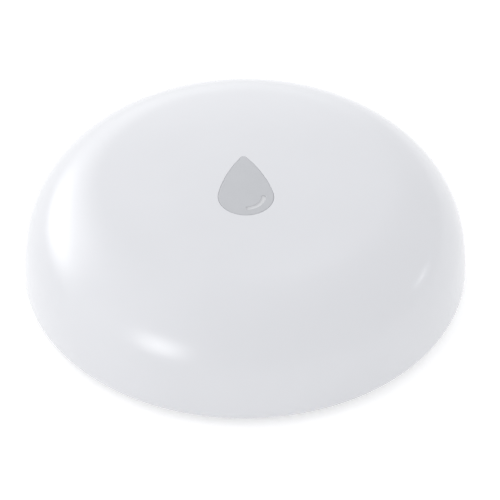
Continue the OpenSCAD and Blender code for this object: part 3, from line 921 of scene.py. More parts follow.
@dataclass
class Drop:
    """Outline of the key: a round bulb and a small tip joined by full flanks that touch both."""

    width: float = 6.1
    length: float = 9.9
    foot: float = -6.8
    tip_r: float = 0.3
    flank_r: float = 17.0
    bulb_steps: int = 150
    flank_steps: int = 44
    tip_steps: int = 24

    @property
    def bulb_r(self) -> float:
        """Radius of the bulb."""
        return self.width / 2

    @property
    def bulb(self) -> np.ndarray:
        """Centre of the bulb."""
        return np.array((0.0, self.foot + self.bulb_r))

    @property
    def tip(self) -> np.ndarray:
        """Centre of the tip's round."""
        return np.array((0.0, self.foot + self.length - self.tip_r))

    def outline(self, grow: float) -> np.ndarray:
        """Lays the outline, anticlockwise from the right flank's end on the bulb.

        Args:
            grow: How far the outline lies outside the drop.

        Returns:
            Outline points.
        """
        centre = crossing(self.tip, self.flank_r - self.tip_r, self.bulb, self.flank_r - self.bulb_r)
        low, high = bearing(centre, self.bulb), bearing(centre, self.tip)
        right = arc(centre, self.flank_r + grow, low, high, self.flank_steps)
        tip = arc(self.tip, self.tip_r + grow, high, 180 - high, self.tip_steps)
        bulb = arc(self.bulb, self.bulb_r + grow, 180 - low, 360 + low, self.bulb_steps)
        left = right[::-1] * (-1, 1)
        return np.vstack((right[:-1], tip[:-1], left[:-1], bulb[:-1]))


@dataclass
class Shell:
    """Seamless pebble-shaped shell with the key's window, its screw bosses and its seat ribs."""

    dome: Dome
    drop: Drop
    layout: Layout
    window_gap: float = 0.04
    window_edge: float = 0.05
    pocket_z: float = 13.2
    pocket_r: float = 6.5
    pocket_y: float = -1.7
    blend_r: float = 10.5
    blend_steps: int = 12
    blend_power: float = 1.5
    flank_steps: int = 27
    edge_steps: int = 10
    lip_edge: float = 0.15
    boss_r: float = 2.1
    boss_round: float = 0.2
    hole_r: float = 0.93
    hole_depth: float = 2.4
    hole_flare: float = 0.25
    hole_cone: float = 0.3
    rib_w: float = 1.2
    rib_h: float = 3.0
    rib_z: float = 2.96
    rib_reach: float = 1.0
    rib_corner: float = 0.25
    rib_edge: float = 0.15

    def rings(self) -> list[np.ndarray]:
        """Lays the rings of the skin: up the window, over the outside, round the lip and back inside.

        Returns:
            Rings with the same number of points each.
        """
        wall_line = self.drop.outline(self.window_gap)
        around = wall_line - (self.drop.bulb + self.drop.tip) / 2
        turn = around / np.linalg.norm(around, axis=1)[:, None]
        rings = [raised(wall_line, self.pocket_z)]
        for out, rise in arc((self.window_edge, -self.window_edge), self.window_edge, 180, 90, ROUND_STEPS):
            line = offset(wall_line, out)
            rings.append(raised(line, self.dome.crown_z(line) + rise))
        rings += self._blend(offset(wall_line, self.window_edge), self.blend_r * turn, 0.0)
        outside = self.dome.flank(0.0, self.blend_r, self.flank_steps)
        inside = self.dome.flank(self.dome.wall, self.blend_r, self.flank_steps // 2)[::-1]
        section = np.vstack((outside[1:], self._lip(), inside))
        rings += [raised(radius * turn, z) for radius, z in section]
        pocket = np.array((0.0, self.pocket_y)) + self.pocket_r * turn
        rings += self._blend(self.blend_r * turn, pocket, self.dome.wall)
        rings.append(raised(pocket, self.pocket_z))
        return rings

    def _lip(self) -> np.ndarray:
        """Lays the round lower edge, the lip and the foot of the inner wall.

        Returns:
            Points of radius and height.
        """
        dome, edge = self.dome, self.lip_edge
        outer = arc((dome.body_r - dome.edge_r, dome.widest_z), dome.edge_r, 0, -90, self.edge_steps)
        corner = (dome.body_r - dome.wall + edge, dome.base_z + edge)
        return np.vstack((outer[1:], arc(corner, edge, -90, -180, ROUND_STEPS)))

    def _blend(self, start: np.ndarray, stop: np.ndarray, inset: float) -> list[np.ndarray]:
        """Lays rings on the crown that change from one outline to another.

        Args:
            start: Outline before the first ring.
            stop: Outline of the last ring.
            inset: Depth under the outer surface.

        Returns:
            The rings.
        """
        shares = np.linspace(0, 1, self.blend_steps + 1)[1:] ** self.blend_power
        lines = [start + share * (stop - start) for share in shares]
        return [raised(line, self.dome.crown_z(line, inset)) for line in lines]

    def _bosses(self) -> tuple[list[Blank], list[Blank]]:
        """Makes the screw bosses, which reach up into the crown.

        Returns:
            The bosses and the cutters for their holes.
        """
        at, angles, low = self.layout.screw_at, self.layout.screw_angles, self.layout.board_top
        roof = self.dome.crown_z(np.array([[at, 0.0]]), self.dome.wall)[0] + self.dome.wall / 4
        boss = Blank.turned([
            (0, low, 0), (self.boss_r, low, self.boss_round), (self.boss_r, roof, 0), (0, roof, 0),
        ], Facets.BOSS)
        mouth, end = self.hole_r + self.hole_flare, low + self.hole_depth
        hole = Blank.turned([
            (0, low - PAST, 0), (mouth, low - PAST, 0), (mouth, low, 0),
            (self.hole_r, low + self.hole_cone, 0), (self.hole_r, end, 0), (0, end + self.hole_cone, 0),
        ], Facets.HOLE)
        return boss.spaced(angles, at), hole.spaced(angles, at)

    def build(self) -> None:
        """Builds the shell with its bosses and ribs."""
        skin = Blank.swept(self.rings(), closed=True)
        inner = self.dome.body_r - self.dome.wall
        head, tail, half = inner - self.rib_reach, inner + self.dome.wall / 4, self.rib_w / 2
        outline = rounded([
            (head, -half, self.rib_corner), (tail, -half, 0), (tail, half, 0), (head, half, self.rib_corner)
        ])
        rib = Blank.extruded(outline, self.rib_z, self.rib_z + self.rib_h, self.rib_edge)
        bosses, holes = self._bosses()
        shell = skin.joined(*bosses, *rib.around(range(0, 360, 60))).cut(*holes)
        put("top_shell_moulding", shell, SHELL_WHITE, Body.HOUSING, "top_shell")


@dataclass
class DropKey:
    """Press key: a drop that lies flush in the crown, on a flange and a stem, with a sunk crescent."""

    dome: Dome
    drop: Drop
    grow: float = 0.02
    edge: float = 0.05
    flange_w: float = 1.2
    flange_z: float = 12.37
    flange_top: float = 13.17
    flange_round: float = 0.15
    stem_r: float = 1.5
    stem_z: float = 10.83
    stem_fillet: float = 0.3
    stem_round: float = 0.2
    crescent_r: float = 1.95
    crescent_w: float = 0.55
    crescent_from: float = -85.0
    crescent_to: float = -5.0
    crescent_depth: float = 0.15
    crescent_slope: float = 0.1
    # First and last share of the way from the bulb's centre to the edge, and rings, dense at the crescent
    face_bands: tuple[tuple[float, float, int], ...] = ((0, 0.48, 5), (0.5, 0.78, 26), (0.82, 1, 6))

    def sunk(self, plan: np.ndarray) -> np.ndarray:
        """Finds how far points of the face lie inside the crescent.

        Args:
            plan: Points of the plan.

        Returns:
            Shares from 0 outside it to 1 on its floor.
        """
        out = plan - self.drop.bulb
        angles = np.clip(np.degrees(np.arctan2(out[:, 1], out[:, 0])), self.crescent_from, self.crescent_to)
        line = self.crescent_r * np.column_stack((np.cos(np.radians(angles)), np.sin(np.radians(angles))))
        depth = self.crescent_w / 2 - np.linalg.norm(out - line, axis=1)
        share = np.clip(depth / self.crescent_slope, 0, 1)
        return share * share * (3 - 2 * share)

    def rings(self) -> list[np.ndarray]:
        """Lays the rings of the skin: over the face, down the side, round the flange and down the stem.

        Returns:
            Rings with the same number of points each, which start and end in a point.
        """
        line, bulb = self.drop.outline(self.grow), self.drop.bulb
        face = offset(line, -self.edge)
        shares = np.concatenate([np.linspace(*band) for band in self.face_bands])
        lines = [bulb + share * (face - bulb) for share in shares]
        rings = [raised(one, self.dome.crown_z(one) - self.crescent_depth * self.sunk(one)) for one in lines]
        for back, rise in arc((-self.edge, -self.edge), self.edge, 90, 0, ROUND_STEPS)[1:]:
            side = offset(line, back)
            rings.append(raised(side, self.dome.crown_z(side) + rise))
        rim, low, top = self.flange_round, self.flange_z, self.flange_top
        wide = self.flange_w - rim
        rounds = (
            [(0, top + rim)],
            arc((rim, top + rim), rim, 180, 270, RIM_STEPS),
            arc((wide, top - rim), rim, 90, 0, RIM_STEPS),
            arc((wide, low + rim), rim, 0, -90, RIM_STEPS),
        )
        rings += [raised(offset(line, out), z) for out, z in np.vstack(rounds)]
        way = (line - bulb) / np.linalg.norm(line - bulb, axis=1)[:, None]
        stem = rounded([
            (self.stem_r + PAST, low, 0), (self.stem_r, low, self.stem_fillet),
            (self.stem_r, self.stem_z, self.stem_round), (0, self.stem_z, 0),
        ])
        return rings + [raised(bulb + radius * way, z) for radius, z in stem[1:]]

    def build(self) -> None:
        """Builds the key and gives the floor of its crescent a lighter tone."""
        key = put("drop_key_cap", Blank.swept(self.rings()), KEY_GREY, Body.KEY, "drop_key")
        key.data.materials.append(KEY_LIGHT.material())
        for face in key.data.polygons:
            plan = np.array(face.center[:2])[None] / MM
            if face.normal.z > 0 and self.sunk(plan)[0] > 0.5:
                face.material_index = 1


@dataclass
class BaseFrame:
    """Ring that closes the shell from below, with the seal's groove, the bayonet ledges and their stops."""

    rim_r: float
    base_z: float
    top_z: float
    mouth_r: float = 20.6
    bore_r: float = 19.0
    wall_r: float = 20.6
    step_r: float = 21.6
    mouth_z: float = 2.23
    seat_z: float = 2.93
    step_z: float = 3.96
    groove_in: float = 19.27
    groove_out: float = 20.33
    groove_top: float = 3.26
    mouth_round: float = 0.2
    rim_round: float = 0.25
    step_round: float = 0.15
    top_round: float = 0.3
    lip_round: float = 0.1
    ledge_r: float = 17.9
    ledge_z: float = 4.2
    ledge_t: float = 1.0
    ledge_angles: Pair = (106.0, 194.0)
    ledge_corner: float = 0.3
    ledge_edge: float = 0.12
    stop_r: float = 17.96
    stop_top: float = 6.16
    stop_angles: Pair = (134.0, 138.0)
    stop_corner: float = 0.15
    stop_edge: float = 0.1
    gusset_w: float = 1.0
    gusset_top: float = 5.96
    gusset_edge: float = 0.2
    marks: tuple[Pair, ...] = ((0.5, 90.0), (0.7, 120.0))
    mark_at: float = 21.75
    mark_depth: float = 0.3

    @classmethod
    def measured(cls) -> "BaseFrame":
        """Takes the ring's outer sizes from the frame."""
        ring = Extent.of("base_frame")
        return cls(rim_r=ring.high[0], base_z=ring.low[2], top_z=ring.high[2])

    def ring(self) -> Blank:
        """Turns the ring with its groove.

        Returns:
            The ring.
        """
        step, lip = self.step_round, self.lip_round
        return Blank.turned([
            (self.mouth_r, self.base_z, self.mouth_round), (self.rim_r, self.base_z, self.rim_round),
            (self.rim_r, self.seat_z, step), (self.step_r, self.seat_z, step),
            (self.step_r, self.step_z, step), (self.wall_r, self.step_z, step),
            (self.wall_r, self.top_z, self.top_round),
            (self.bore_r, self.top_z, self.top_round), (self.bore_r, self.mouth_z, lip),
            (self.groove_in, self.mouth_z, lip), (self.groove_in, self.groove_top, step),
            (self.groove_out, self.groove_top, step), (self.groove_out, self.mouth_z, lip),
            (self.mouth_r, self.mouth_z, lip),
        ], Facets.RIM)

    def build(self) -> None:
        """Builds the ring with its ledges, stops, gussets and marks."""
        deep, ledge_top = self.bore_r + SUNK, self.ledge_z + self.ledge_t
        ledge_plan = sector(self.ledge_r, deep, self.ledge_angles, self.ledge_corner)
        ledge = Blank.extruded(ledge_plan, self.ledge_z, ledge_top, self.ledge_edge)
        stop_plan = sector(self.stop_r, deep, self.stop_angles, self.stop_corner)
        stop = Blank.extruded(stop_plan, ledge_top - SUNK, self.stop_top, self.stop_edge)
        gusset_plan = slab(self.step_r - self.wall_r, self.gusset_w, self.gusset_edge)
        gusset = Blank.extruded(gusset_plan, self.step_z - SUNK, self.gusset_top, self.gusset_edge)
        gusset = gusset.moved((self.step_r - 2 * SUNK, 0, 0))
        thirds = range(0, 360, 120)
        parts = [*ledge.around(thirds), *stop.around(thirds), *gusset.around(range(0, 360, 60))]
        marks = [
            Blank.dimple(radius, self.mark_depth).moved(on_plan(self.mark_at, angle, self.base_z))
            for radius, angle in self.marks
        ]
        put("base_frame_ring", self.ring().joined(*parts).cut(*marks), BASE_WHITE, Body.HOUSING, "base_frame")


@dataclass
class BatteryCover:
    """Twist-off cover with its neck, bayonet lugs, coin slot, feet and the pads for the contact plates."""

    layout: Layout
    rim_r: float
    top_z: float
    probe_at: float
    base_z: float = 0.7
    floor_z: float = 2.2
    rim_round: float = 0.35
    edge: float = 0.12
    neck_r: float = 17.78
    neck_in: float = 16.28
    neck_fillet: float = 0.3
    neck_round: float = 0.25
    lug_r: float = 18.88
    lug_z: float = 5.26
    lug_angle: float = 26.0
    lug_corner: float = 0.35
    coin_r: float = 12.0
    slot_w: float = 2.2
    slot_depth: float = 1.3
    slot_corner: float = 0.1
    boss_r: float = 6.63
    boss_w: float = 4.6
    boss_top: float = 3.1
    boss_edge: float = 0.25
    boss_steps: int = 12
    foot_r: float = 1.5
    foot_round: float = 0.35
    foot_fillet: float = 0.2
    foot_flare: float = 0.4
    pad_top: float = 2.7
    pad_corner: float = 0.5
    recess_r: float = 2.4
    recess_z: float = 1.2
    seal_r: float = 1.91
    seal_z: float = 1.86
    ease: float = 0.18
    mark_r: float = 0.5
    mark_at: float = 19.04
    mark_depth: float = 0.3

    @classmethod
    def measured(cls, layout: Layout) -> "BatteryCover":
        """Takes the cover's outer sizes and the probes' places from the frame."""
        high = Extent.of("battery_cover").high
        return cls(layout, rim_r=high[0], top_z=high[2], probe_at=Extent.of("probe_right").middle[0])

    def disc(self) -> Blank:
        """Turns the floor and the neck.

        Returns:
            The disc.
        """
        low, high = self.base_z, self.floor_z
        return Blank.turned([
            (0, low, 0), (self.rim_r, low, self.rim_round), (self.rim_r, high, self.edge),
            (self.neck_r, high, self.neck_fillet), (self.neck_r, self.top_z, self.neck_round),
            (self.neck_in, self.top_z, self.neck_round), (self.neck_in, high, self.neck_fillet), (0, high, 0),
        ], Facets.RIM)

    def added(self) -> list[Blank]:
        """Makes what stands on the disc.

        Returns:
            Lugs, slot boss, feet and pads.
        """
        half, sunk_z = self.lug_angle / 2, self.floor_z - SUNK
        lug_plan = sector(self.neck_r - SUNK, self.lug_r, (-half, half), self.lug_corner)
        lug = Blank.extruded(lug_plan, self.lug_z, self.top_z, self.edge)
        end = math.degrees(math.acos(self.boss_w / 2 / self.boss_r))
        ends = [arc((0, 0), self.boss_r, turn + end, turn + 180 - end, self.boss_steps) for turn in (0, 180)]
        boss = Blank.extruded(np.vstack(ends), sunk_z, self.boss_top, self.boss_edge)
        root, flare = self.base_z + SUNK, self.foot_r + self.foot_flare
        foot = Blank.turned([
            (0, 0, 0), (self.foot_r, 0, self.foot_round), (self.foot_r, self.base_z, self.foot_fillet),
            (flare, self.base_z, 0), (flare, root, 0), (0, root, 0),
        ], Facets.BOSS)
        pad_plan = self.layout.contact_strip(self.probe_at, self.pad_corner)
        pad = Blank.extruded(pad_plan, sunk_z, self.pad_top, self.edge)
        return [*lug.around(range(90, 450, 120)), boss, *foot.pair(y=self.probe_at), *pad.around((0, 180))]

    def removed(self) -> list[Blank]:
        """Makes what is cut out of the cover.

        Returns:
            Coin slot with its eased mouth, the two stepped bores and the mark.
        """
        base, ease = self.base_z, self.ease
        coin = Blank.extruded(self.coin_r * unit_circle(Facets.COIN), -self.slot_w / 2, self.slot_w / 2)
        coin = coin.moved((0, 0, base + self.slot_depth - self.coin_r), lean=SIDEWAYS)
        half = math.sqrt(self.coin_r**2 - (self.coin_r - self.slot_depth) ** 2)
        mouth = slab(self.slot_w, 2 * half - ease, self.slot_corner)
        wide = offset(mouth, ease)
        flare = Blank.swept([raised(wide, base - PAST), raised(wide, base), raised(mouth, base + ease)])
        bore_r, top = self.layout.probe_bore, self.pad_top + PAST
        bore = Blank.turned([
            (0, base - PAST, 0), (self.recess_r + ease, base - PAST, 0), (self.recess_r + ease, base, 0),
            (self.recess_r, base + ease, 0), (self.recess_r, self.recess_z, 0),
            (self.seal_r, self.recess_z, 0), (self.seal_r, self.seal_z, 0),
            (bore_r, self.seal_z, 0), (bore_r, top, 0), (0, top, 0),
        ], Facets.BOSS)
        mark = Blank.dimple(self.mark_r, self.mark_depth).moved(on_plan(self.mark_at, 90, base))
        return [coin, flare, *bore.pair(x=self.probe_at), mark]

    def build(self) -> None:
        """Builds the cover."""
        cover = self.disc().joined(*self.added()).cut(*self.removed())
        put("battery_cover_moulding", cover, BASE_WHITE, Body.COVER, "battery_cover")


@dataclass
class Seals:
    """Rubber rings: one round the cover, and one under each probe's head."""

    flash: float = 0.012

    def build(self) -> None:
        """Builds the rings from their places in the frame."""
        for node, body in (
            ("cover_seal", Body.SEAL), ("probe_seal_left", Body.COVER), ("probe_seal_right", Body.COVER)
        ):
            put(f"{node}_ring", self._ring(Extent.of(node)), SEAL_GREY, body, node)

    def _ring(self, extent: Extent) -> Blank:
        """Turns one ring with the fine flash line that its mould leaves.

        Args:
            extent: Box that it fills.

        Returns:
            The ring in its place.
        """
        thick = extent.size[2] / 2
        section = unit_circle(Facets.SECTION)
        proud = 1 + self.flash * (np.abs(section[:, 1]) < self.flash)
        radius = extent.size[0] / 2 - thick
        profile = np.array((radius, 0)) + (thick - self.flash) * proud[:, None] * section
        return Blank.turned(raised(profile, 0.0), Facets.CELL).moved(extent.middle)


@dataclass
class Thread:
    """Screw thread that runs up a shank."""

    radius: float
    pitch: float
    depth: float
    low: float
    high: float
    steps: int = 8

    def rings(self, turn: np.ndarray) -> list[np.ndarray]:
        """Lays rings up the thread, which fades out at both ends.

        Args:
            turn: Points of a unit circle.

        Returns:
            The rings.
        """
        share = np.arctan2(turn[:, 1], turn[:, 0]) / (2 * math.pi)
        count = round(self.steps * (self.high - self.low) / self.pitch)
        rings = []
        for z in np.linspace(self.low, self.high, count + 1):
            fade = min(1.0, (z - self.low) / self.pitch, (self.high - z) / self.pitch)
            wave = 0.5 - 0.5 * np.cos(2 * math.pi * (z / self.pitch - share))
            rings.append(raised((self.radius - self.depth * fade * wave)[:, None] * turn, z))
        return rings


@dataclass
class Probes:
    """Two metal probes, each with its nut and the contact plate that carries its signal."""

    layout: Layout
    shank_r: float = 1.25
    head_z: float = 1.17
    head_rounds: Triple = (0.3, 0.12, 0.1)
    tip_cone: float = 0.25
    thread_from: float = 2.0
    thread_pitch: float = 0.45
    thread_depth: float = 0.14
    nut_flats: float = 4.5
    nut_round: float = 0.96
    nut_ease: float = 0.15
    plate_corner: float = 0.7
    plate_edge: float = 0.06

    def build(self) -> None:
        """Builds both sides."""
        for side, turn in (("right", 0), ("left", 180)):
            nodes = (f"{name}_{side}" for name in ("probe", "probe_nut", "contact_plate"))
            probe, nut, plate = (Extent.of(node) for node in nodes)
            pin = self._pin(probe.high[0] - probe.middle[0], probe.high[2])
            put(f"probe_{side}_pin", pin, PROBE_STEEL, Body.COVER, f"probe_{side}", place=probe.foot)
            hexagon = self._nut(*nut.levels).moved(probe.foot)
            put(f"probe_nut_{side}_hex", hexagon, CONTACT_BRASS, Body.COVER, f"probe_nut_{side}")
            strip = self._plate(abs(probe.middle[0]), *plate.levels).moved(turn=turn)
            put(f"contact_plate_{side}_strip", strip, CONTACT_BRASS, Body.COVER, f"contact_plate_{side}")

    def _pin(self, head_r: float, tip: float) -> Blank:
        """Makes a probe: a flat round head and a threaded shank.

        Args:
            head_r: Radius of the head.
            tip: Height of the shank's end.

        Returns:
            The probe on the Z axis.
        """
        foot_round, rim_round, fillet = self.head_rounds
        turn, end = unit_circle(Facets.PIN), tip - self.tip_cone
        foot = rounded([
            (0, 0, 0), (head_r, 0, foot_round), (head_r, self.head_z, rim_round),
            (self.shank_r, self.head_z, fillet), (self.shank_r, self.thread_from, 0),
        ])
        point = [(self.shank_r - self.tip_cone, tip), (0, tip)]
        thread = Thread(self.shank_r, self.thread_pitch, self.thread_depth, self.thread_from, end)
        lower, upper = ([raised(r * turn, z) for r, z in line] for line in (foot[:-1], point))
        return Blank.swept([*lower, *thread.rings(turn), *upper])

    def _nut(self, low: float, high: float) -> Blank:
        """Makes a hexagon nut with its corners taken off by a cone.

        Args:
            low: Height of its lower face.
            high: Height of its upper face.

        Returns:
            The nut on the Z axis.
        """
        turn = unit_circle(Facets.NUT)
        angles = np.degrees(np.arctan2(turn[:, 1], turn[:, 0]))
        reach = self.nut_flats / 2 / np.cos(np.radians((angles + 60) % 60 - 30))
        round_r, bore_r = self.nut_round * self.nut_flats / 2, self.layout.probe_bore
        drop = (reach - round_r) * math.tan(math.radians(30))
        face, side = round_r * turn, reach[:, None] * turn
        bore, mouth = bore_r * turn, (bore_r + self.nut_ease) * turn
        lower = [raised(mouth, low), raised(face, low), raised(side, low + drop)]
        upper = [raised(side, high - drop), raised(face, high), raised(mouth, high)]
        inner = [raised(bore, high - self.nut_ease), raised(bore, low + self.nut_ease)]
        return Blank.swept([*lower, *upper, *inner], closed=True)

    def _plate(self, at: float, low: float, high: float) -> Blank:
        """Makes a contact plate: a stamped strip with round corners and a hole for the probe.

        Args:
            at: Radius of the strip's middle.
            low: Height of its lower face.
            high: Height of its upper face.

        Returns:
            The plate.
        """
        strip = Blank.extruded(self.layout.contact_strip(at, self.plate_corner), low, high, self.plate_edge)
        hole = Blank.drill(self.layout.probe_bore, low, high, Facets.BOSS)
        return strip.cut(hole.moved((at, 0, 0)))


@dataclass
class ContactSprings:
    """Two wire coils that carry the probes' signals from the plates to the board."""

    wire_r: float = 0.15
    wire_sides: int = 14
    coil_r: float = 0.9
    turns: float = 6.0
    end_pitch: float = 0.32
    steps: int = 28

    def build(self) -> None:
        """Winds both springs in their places."""
        for node in ("probe_spring_left", "probe_spring_right"):
            extent = Extent.of(node)
            path = self._path(extent.low[2] + self.wire_r, extent.high[2] - self.wire_r)
            coil = Blank.tube(path, self.wire_r, self.wire_sides).moved(extent.foot)
            put(f"{node}_coil", coil, SPRING_GOLD, Body.HOUSING, node)

    def _path(self, low: float, high: float) -> np.ndarray:
        """Lays the wire's middle line, with a closed turn at each end.

        Args:
            low: Height of its first point.
            high: Height of its last point.

        Returns:
            Points of the line.
        """
        turn = np.linspace(0, self.turns, round(self.turns * self.steps) + 1)
        levels = [low, low + self.end_pitch, high - self.end_pitch, high]
        z = np.interp(turn, [0, 1, self.turns - 1, self.turns], levels)
        angle = 2 * math.pi * turn
        return np.column_stack((self.coil_r * np.cos(angle), self.coil_r * np.sin(angle), z))


@dataclass
class CoinCell:
    """Coin cell: a crimped can with a stamped cross, and the gasket that parts it from its cap."""

    edge_r: float = 0.35
    crimp_drop: float = 0.35
    crimp_slope: float = 0.1
    crimp_r: float = 0.5
    crimp_w: float = 0.85
    lip_r: float = 0.12
    groove: Pair = (0.95, 1.25)
    groove_depth: float = 0.25
    cap_in: float = 1.3
    cap_r: float = 0.22
    dish: Pair = (3.2, 3.6)
    dish_depth: float = 0.06
    dish_r: float = 0.5
    cross: Triple = (3.0, 0.6, 0.25)
    cross_depth: float = 0.08
    gasket_gap: float = 0.01
    gasket_top: float = 0.04
    gasket_taper: Pair = (0.02, 0.04)
    gasket_r: float = 0.05

    def build(self) -> None:
        """Builds the can and the gasket from the cell's place in the frame."""
        extent = Extent.of("coin_cell")
        radius, base, top = extent.high[0], extent.low[2], extent.high[2]
        crimp = top - self.crimp_drop
        out, inner, floor = radius - self.groove[0], radius - self.groove[1], crimp - self.groove_depth
        dished = top - self.dish_depth
        can = Blank.turned([
            (0, base, 0), (radius, base, self.edge_r), (radius, crimp - self.crimp_slope, self.crimp_r),
            (radius - self.crimp_w, crimp, self.lip_r), (out, floor, 0), (inner, floor, 0),
            (radius - self.cap_in, top, self.cap_r), (radius - self.dish[0], top, self.dish_r),
            (radius - self.dish[1], dished, self.dish_r), (0, dished, 0),
        ], Facets.CELL)
        bar = Blank.extruded(slab(*self.cross), base - PAST, base + self.cross_depth)
        put("coin_cell_can", can.cut(bar, bar.moved(turn=90)), CELL_METAL, Body.HOUSING, "coin_cell")
        out, inner, floor = out - self.gasket_gap, inner + self.gasket_gap, floor + self.gasket_gap
        high, (out_taper, in_taper) = crimp - self.gasket_top, self.gasket_taper
        gasket = Blank.turned([
            (inner, floor, 0), (out, floor, 0), (out - out_taper, high, self.gasket_r),
            (inner + in_taper, high, self.gasket_r),
        ], Facets.CELL, steps=2)
        put("coin_cell_gasket", gasket, SEAL_GREY, Body.HOUSING)


@dataclass
class CellBay:
    """Moulded carrier with its coin cell and the two contacts that press on the cell."""

    layout: Layout
    cell: CoinCell
    ring_in: float = 10.2
    ring_out: float = 11.6
    ring_z: float = 4.83
    top_z: float = 7.87
    ring_round: float = 0.2
    edge: float = 0.1
    hook_in: float = 9.3
    hook_z: float = 3.47
    hook_top: float = 3.87
    hook_angle: float = 18.0
    hook_corner: float = 0.25
    hook_root: float = 0.5
    leg_inset: float = 0.1
    leg_lift: float = 0.03
    claw_past: float = 0.2
    claw_inset: float = 0.5
    tube_in: float = 1.15
    tube_out: float = 1.75
    rib_w: float = 1.2
    rib_inset: float = 0.05
    ear_r: float = 1.9
    ear_z: float = 7.1
    ear_edge: float = 0.12
    ear_hole: float = 1.0
    arm_w: float = 2.85
    arm_inset: float = 0.03
    gap_size: Triple = (6.0, 4.0, 0.3)
    sheet: float = 0.2
    sheet_edge: float = 0.03
    sheet_round: float = 0.05
    leaf_w: float = 2.6
    leaf_bends: Pair = (-2.5, 3.0)
    leaf_bend_r: float = 0.35
    leaf_rise: float = 0.27
    leaf_slot: Triple = (5.0, 0.5, 0.2)
    leaf_slot_at: float = 3.2
    clip_angle: float = 315.0
    clip_gap: float = 0.03
    clip_w: float = 3.2
    clip_foot: float = 2.6
    clip_rounds: Pair = (0.15, 0.3)
    clip_hole_r: float = 0.5
    clip_hole_at: float = 1.5

    def build(self) -> None:
        """Builds the carrier, the cell and the contacts."""
        carrier = self._ring().joined(*self._added()).cut(*self._removed())
        put("cell_carrier_moulding", carrier, CARRIER_GREY, Body.HOUSING, "cell_carrier")
        self.cell.build()
        put("cell_negative_leaf", self._leaf(), CONTACT_STEEL, Body.HOUSING, "cell_negative_spring")
        put("cell_positive_strip", self._clip(), CONTACT_STEEL, Body.HOUSING, "cell_positive_clip")

    @property
    def ring_r(self) -> float:
        """Radius of the ring's middle line."""
        return (self.ring_in + self.ring_out) / 2

    def _ring(self) -> Blank:
        """Ring round the cell."""
        levels, walls = (self.ring_z, self.top_z), (self.ring_in, self.ring_out)
        plan = ((0, 0), (1, 0), (1, 1), (0, 1))
        return Blank.turned([(walls[r], levels[z], self.ring_round) for r, z in plan], Facets.CELL)

    def _added(self) -> list[Blank]:
        """Makes what stands on the ring.

        Returns:
            Two hooks, two spring tubes with their ribs and three screw ears with their arms.
        """
        low, high, middle, layout = self.ring_z, self.top_z, self.ring_r, self.layout
        half = self.hook_angle / 2
        leg_plan = sector(
            self.ring_in + self.leg_inset, self.ring_out - self.leg_inset, (-half, half), self.ring_round
        )
        leg = Blank.extruded(leg_plan, self.hook_z + self.leg_lift, low + self.hook_root, self.edge)
        claw_angles = (self.claw_inset - half, half - self.claw_inset)
        claw_plan = sector(self.hook_in, middle + self.claw_past, claw_angles, self.hook_corner)
        claw = Blank.extruded(claw_plan, self.hook_z, self.hook_top, self.edge)
        tube = Blank.turned([
            (0, low, 0), (self.tube_out, low, self.ring_round),
            (self.tube_out, high, self.ring_round), (0, high, 0),
        ], Facets.BOSS)
        rib_plan = slab(layout.spring_at - middle, self.rib_w, self.edge)
        rib = Blank.extruded(rib_plan, low + self.rib_inset, high - self.rib_inset, self.edge)
        ear = Blank.extruded(self.ear_r * unit_circle(Facets.BOSS), self.ear_z, high, self.ear_edge)
        arm_plan = slab(layout.screw_at - middle, self.arm_w, self.edge)
        arm = Blank.extruded(arm_plan, self.ear_z + self.arm_inset, high - self.arm_inset, self.edge)
        parts = [*leg.around((90, 270)), *claw.around((90, 270))]
        for at, angles, end, bar in (
            (layout.spring_at, layout.spring_angles, tube, rib),
            (layout.screw_at, layout.screw_angles, ear, arm),
        ):
            pairs = zip(end.spaced(angles, at), bar.around(angles, (middle + at) / 2))
            parts += [part for pair in pairs for part in pair]
        return parts

    def _removed(self) -> list[Blank]:
        """Makes what is cut out of the carrier.

        Returns:
            The gap for the clip, the bores of the tubes and the holes of the ears.
        """
        layout, low, high = self.layout, self.ring_z, self.top_z
        gap = Blank.extruded(slab(*self.gap_size), low - PAST, high + PAST)
        bore, hole = Blank.drill(self.tube_in, low, high), Blank.drill(self.ear_hole, self.ear_z, high)
        return [
            *gap.around([self.clip_angle], self.ring_r),
            *bore.spaced(layout.spring_angles, layout.spring_at),
            *hole.spaced(layout.screw_angles, layout.screw_at),
        ]

    def _leaf(self) -> Blank:
        """Makes the leaf spring that bears on the cell's cap.

        Returns:
            The leaf, split at its free end.
        """
        extent, sheet = Extent.of("cell_negative_spring"), self.sheet
        (root, _, low), (end, _, top) = extent.low, extent.high
        touch, (upper, lower) = low + sheet, self.leaf_bends
        tip, fine, bend = touch + self.leaf_rise, self.sheet_round, self.leaf_bend_r
        strip = Blank.folded([
            (root, top - sheet, fine), (upper, top - sheet, bend), (lower, touch - sheet, bend),
            (end, tip - sheet, fine), (end, tip, fine), (lower, touch, bend),
            (upper, top, bend), (root, top, fine),
        ], self.leaf_w, self.sheet_edge)
        slot = Blank.extruded(slab(*self.leaf_slot), touch - 2 * PAST, top + 2 * PAST)
        return strip.cut(slot.moved((self.leaf_slot_at, 0, 0)))

    def _clip(self) -> Blank:
        """Makes the bent strip that bears on the cell's side.

        Returns:
            The strip with a hole in its foot.
        """
        low, high = Extent.of("cell_positive_clip").levels
        face, sheet, fine = Extent.of("coin_cell").high[0] + self.clip_gap, self.sheet, self.sheet_round
        foot, (inner, outer) = face + self.clip_foot, self.clip_rounds
        strip = Blank.folded([
            (face, low, fine), (face + sheet, low, fine), (face + sheet, high - sheet, inner),
            (foot, high - sheet, fine), (foot, high, fine), (face, high, outer),
        ], self.clip_w, self.sheet_edge)
        hole = Blank.drill(self.clip_hole_r, high, high, Facets.PINHOLE)
        return strip.cut(hole.moved((face + self.clip_hole_at, 0, 0))).moved(turn=self.clip_angle)


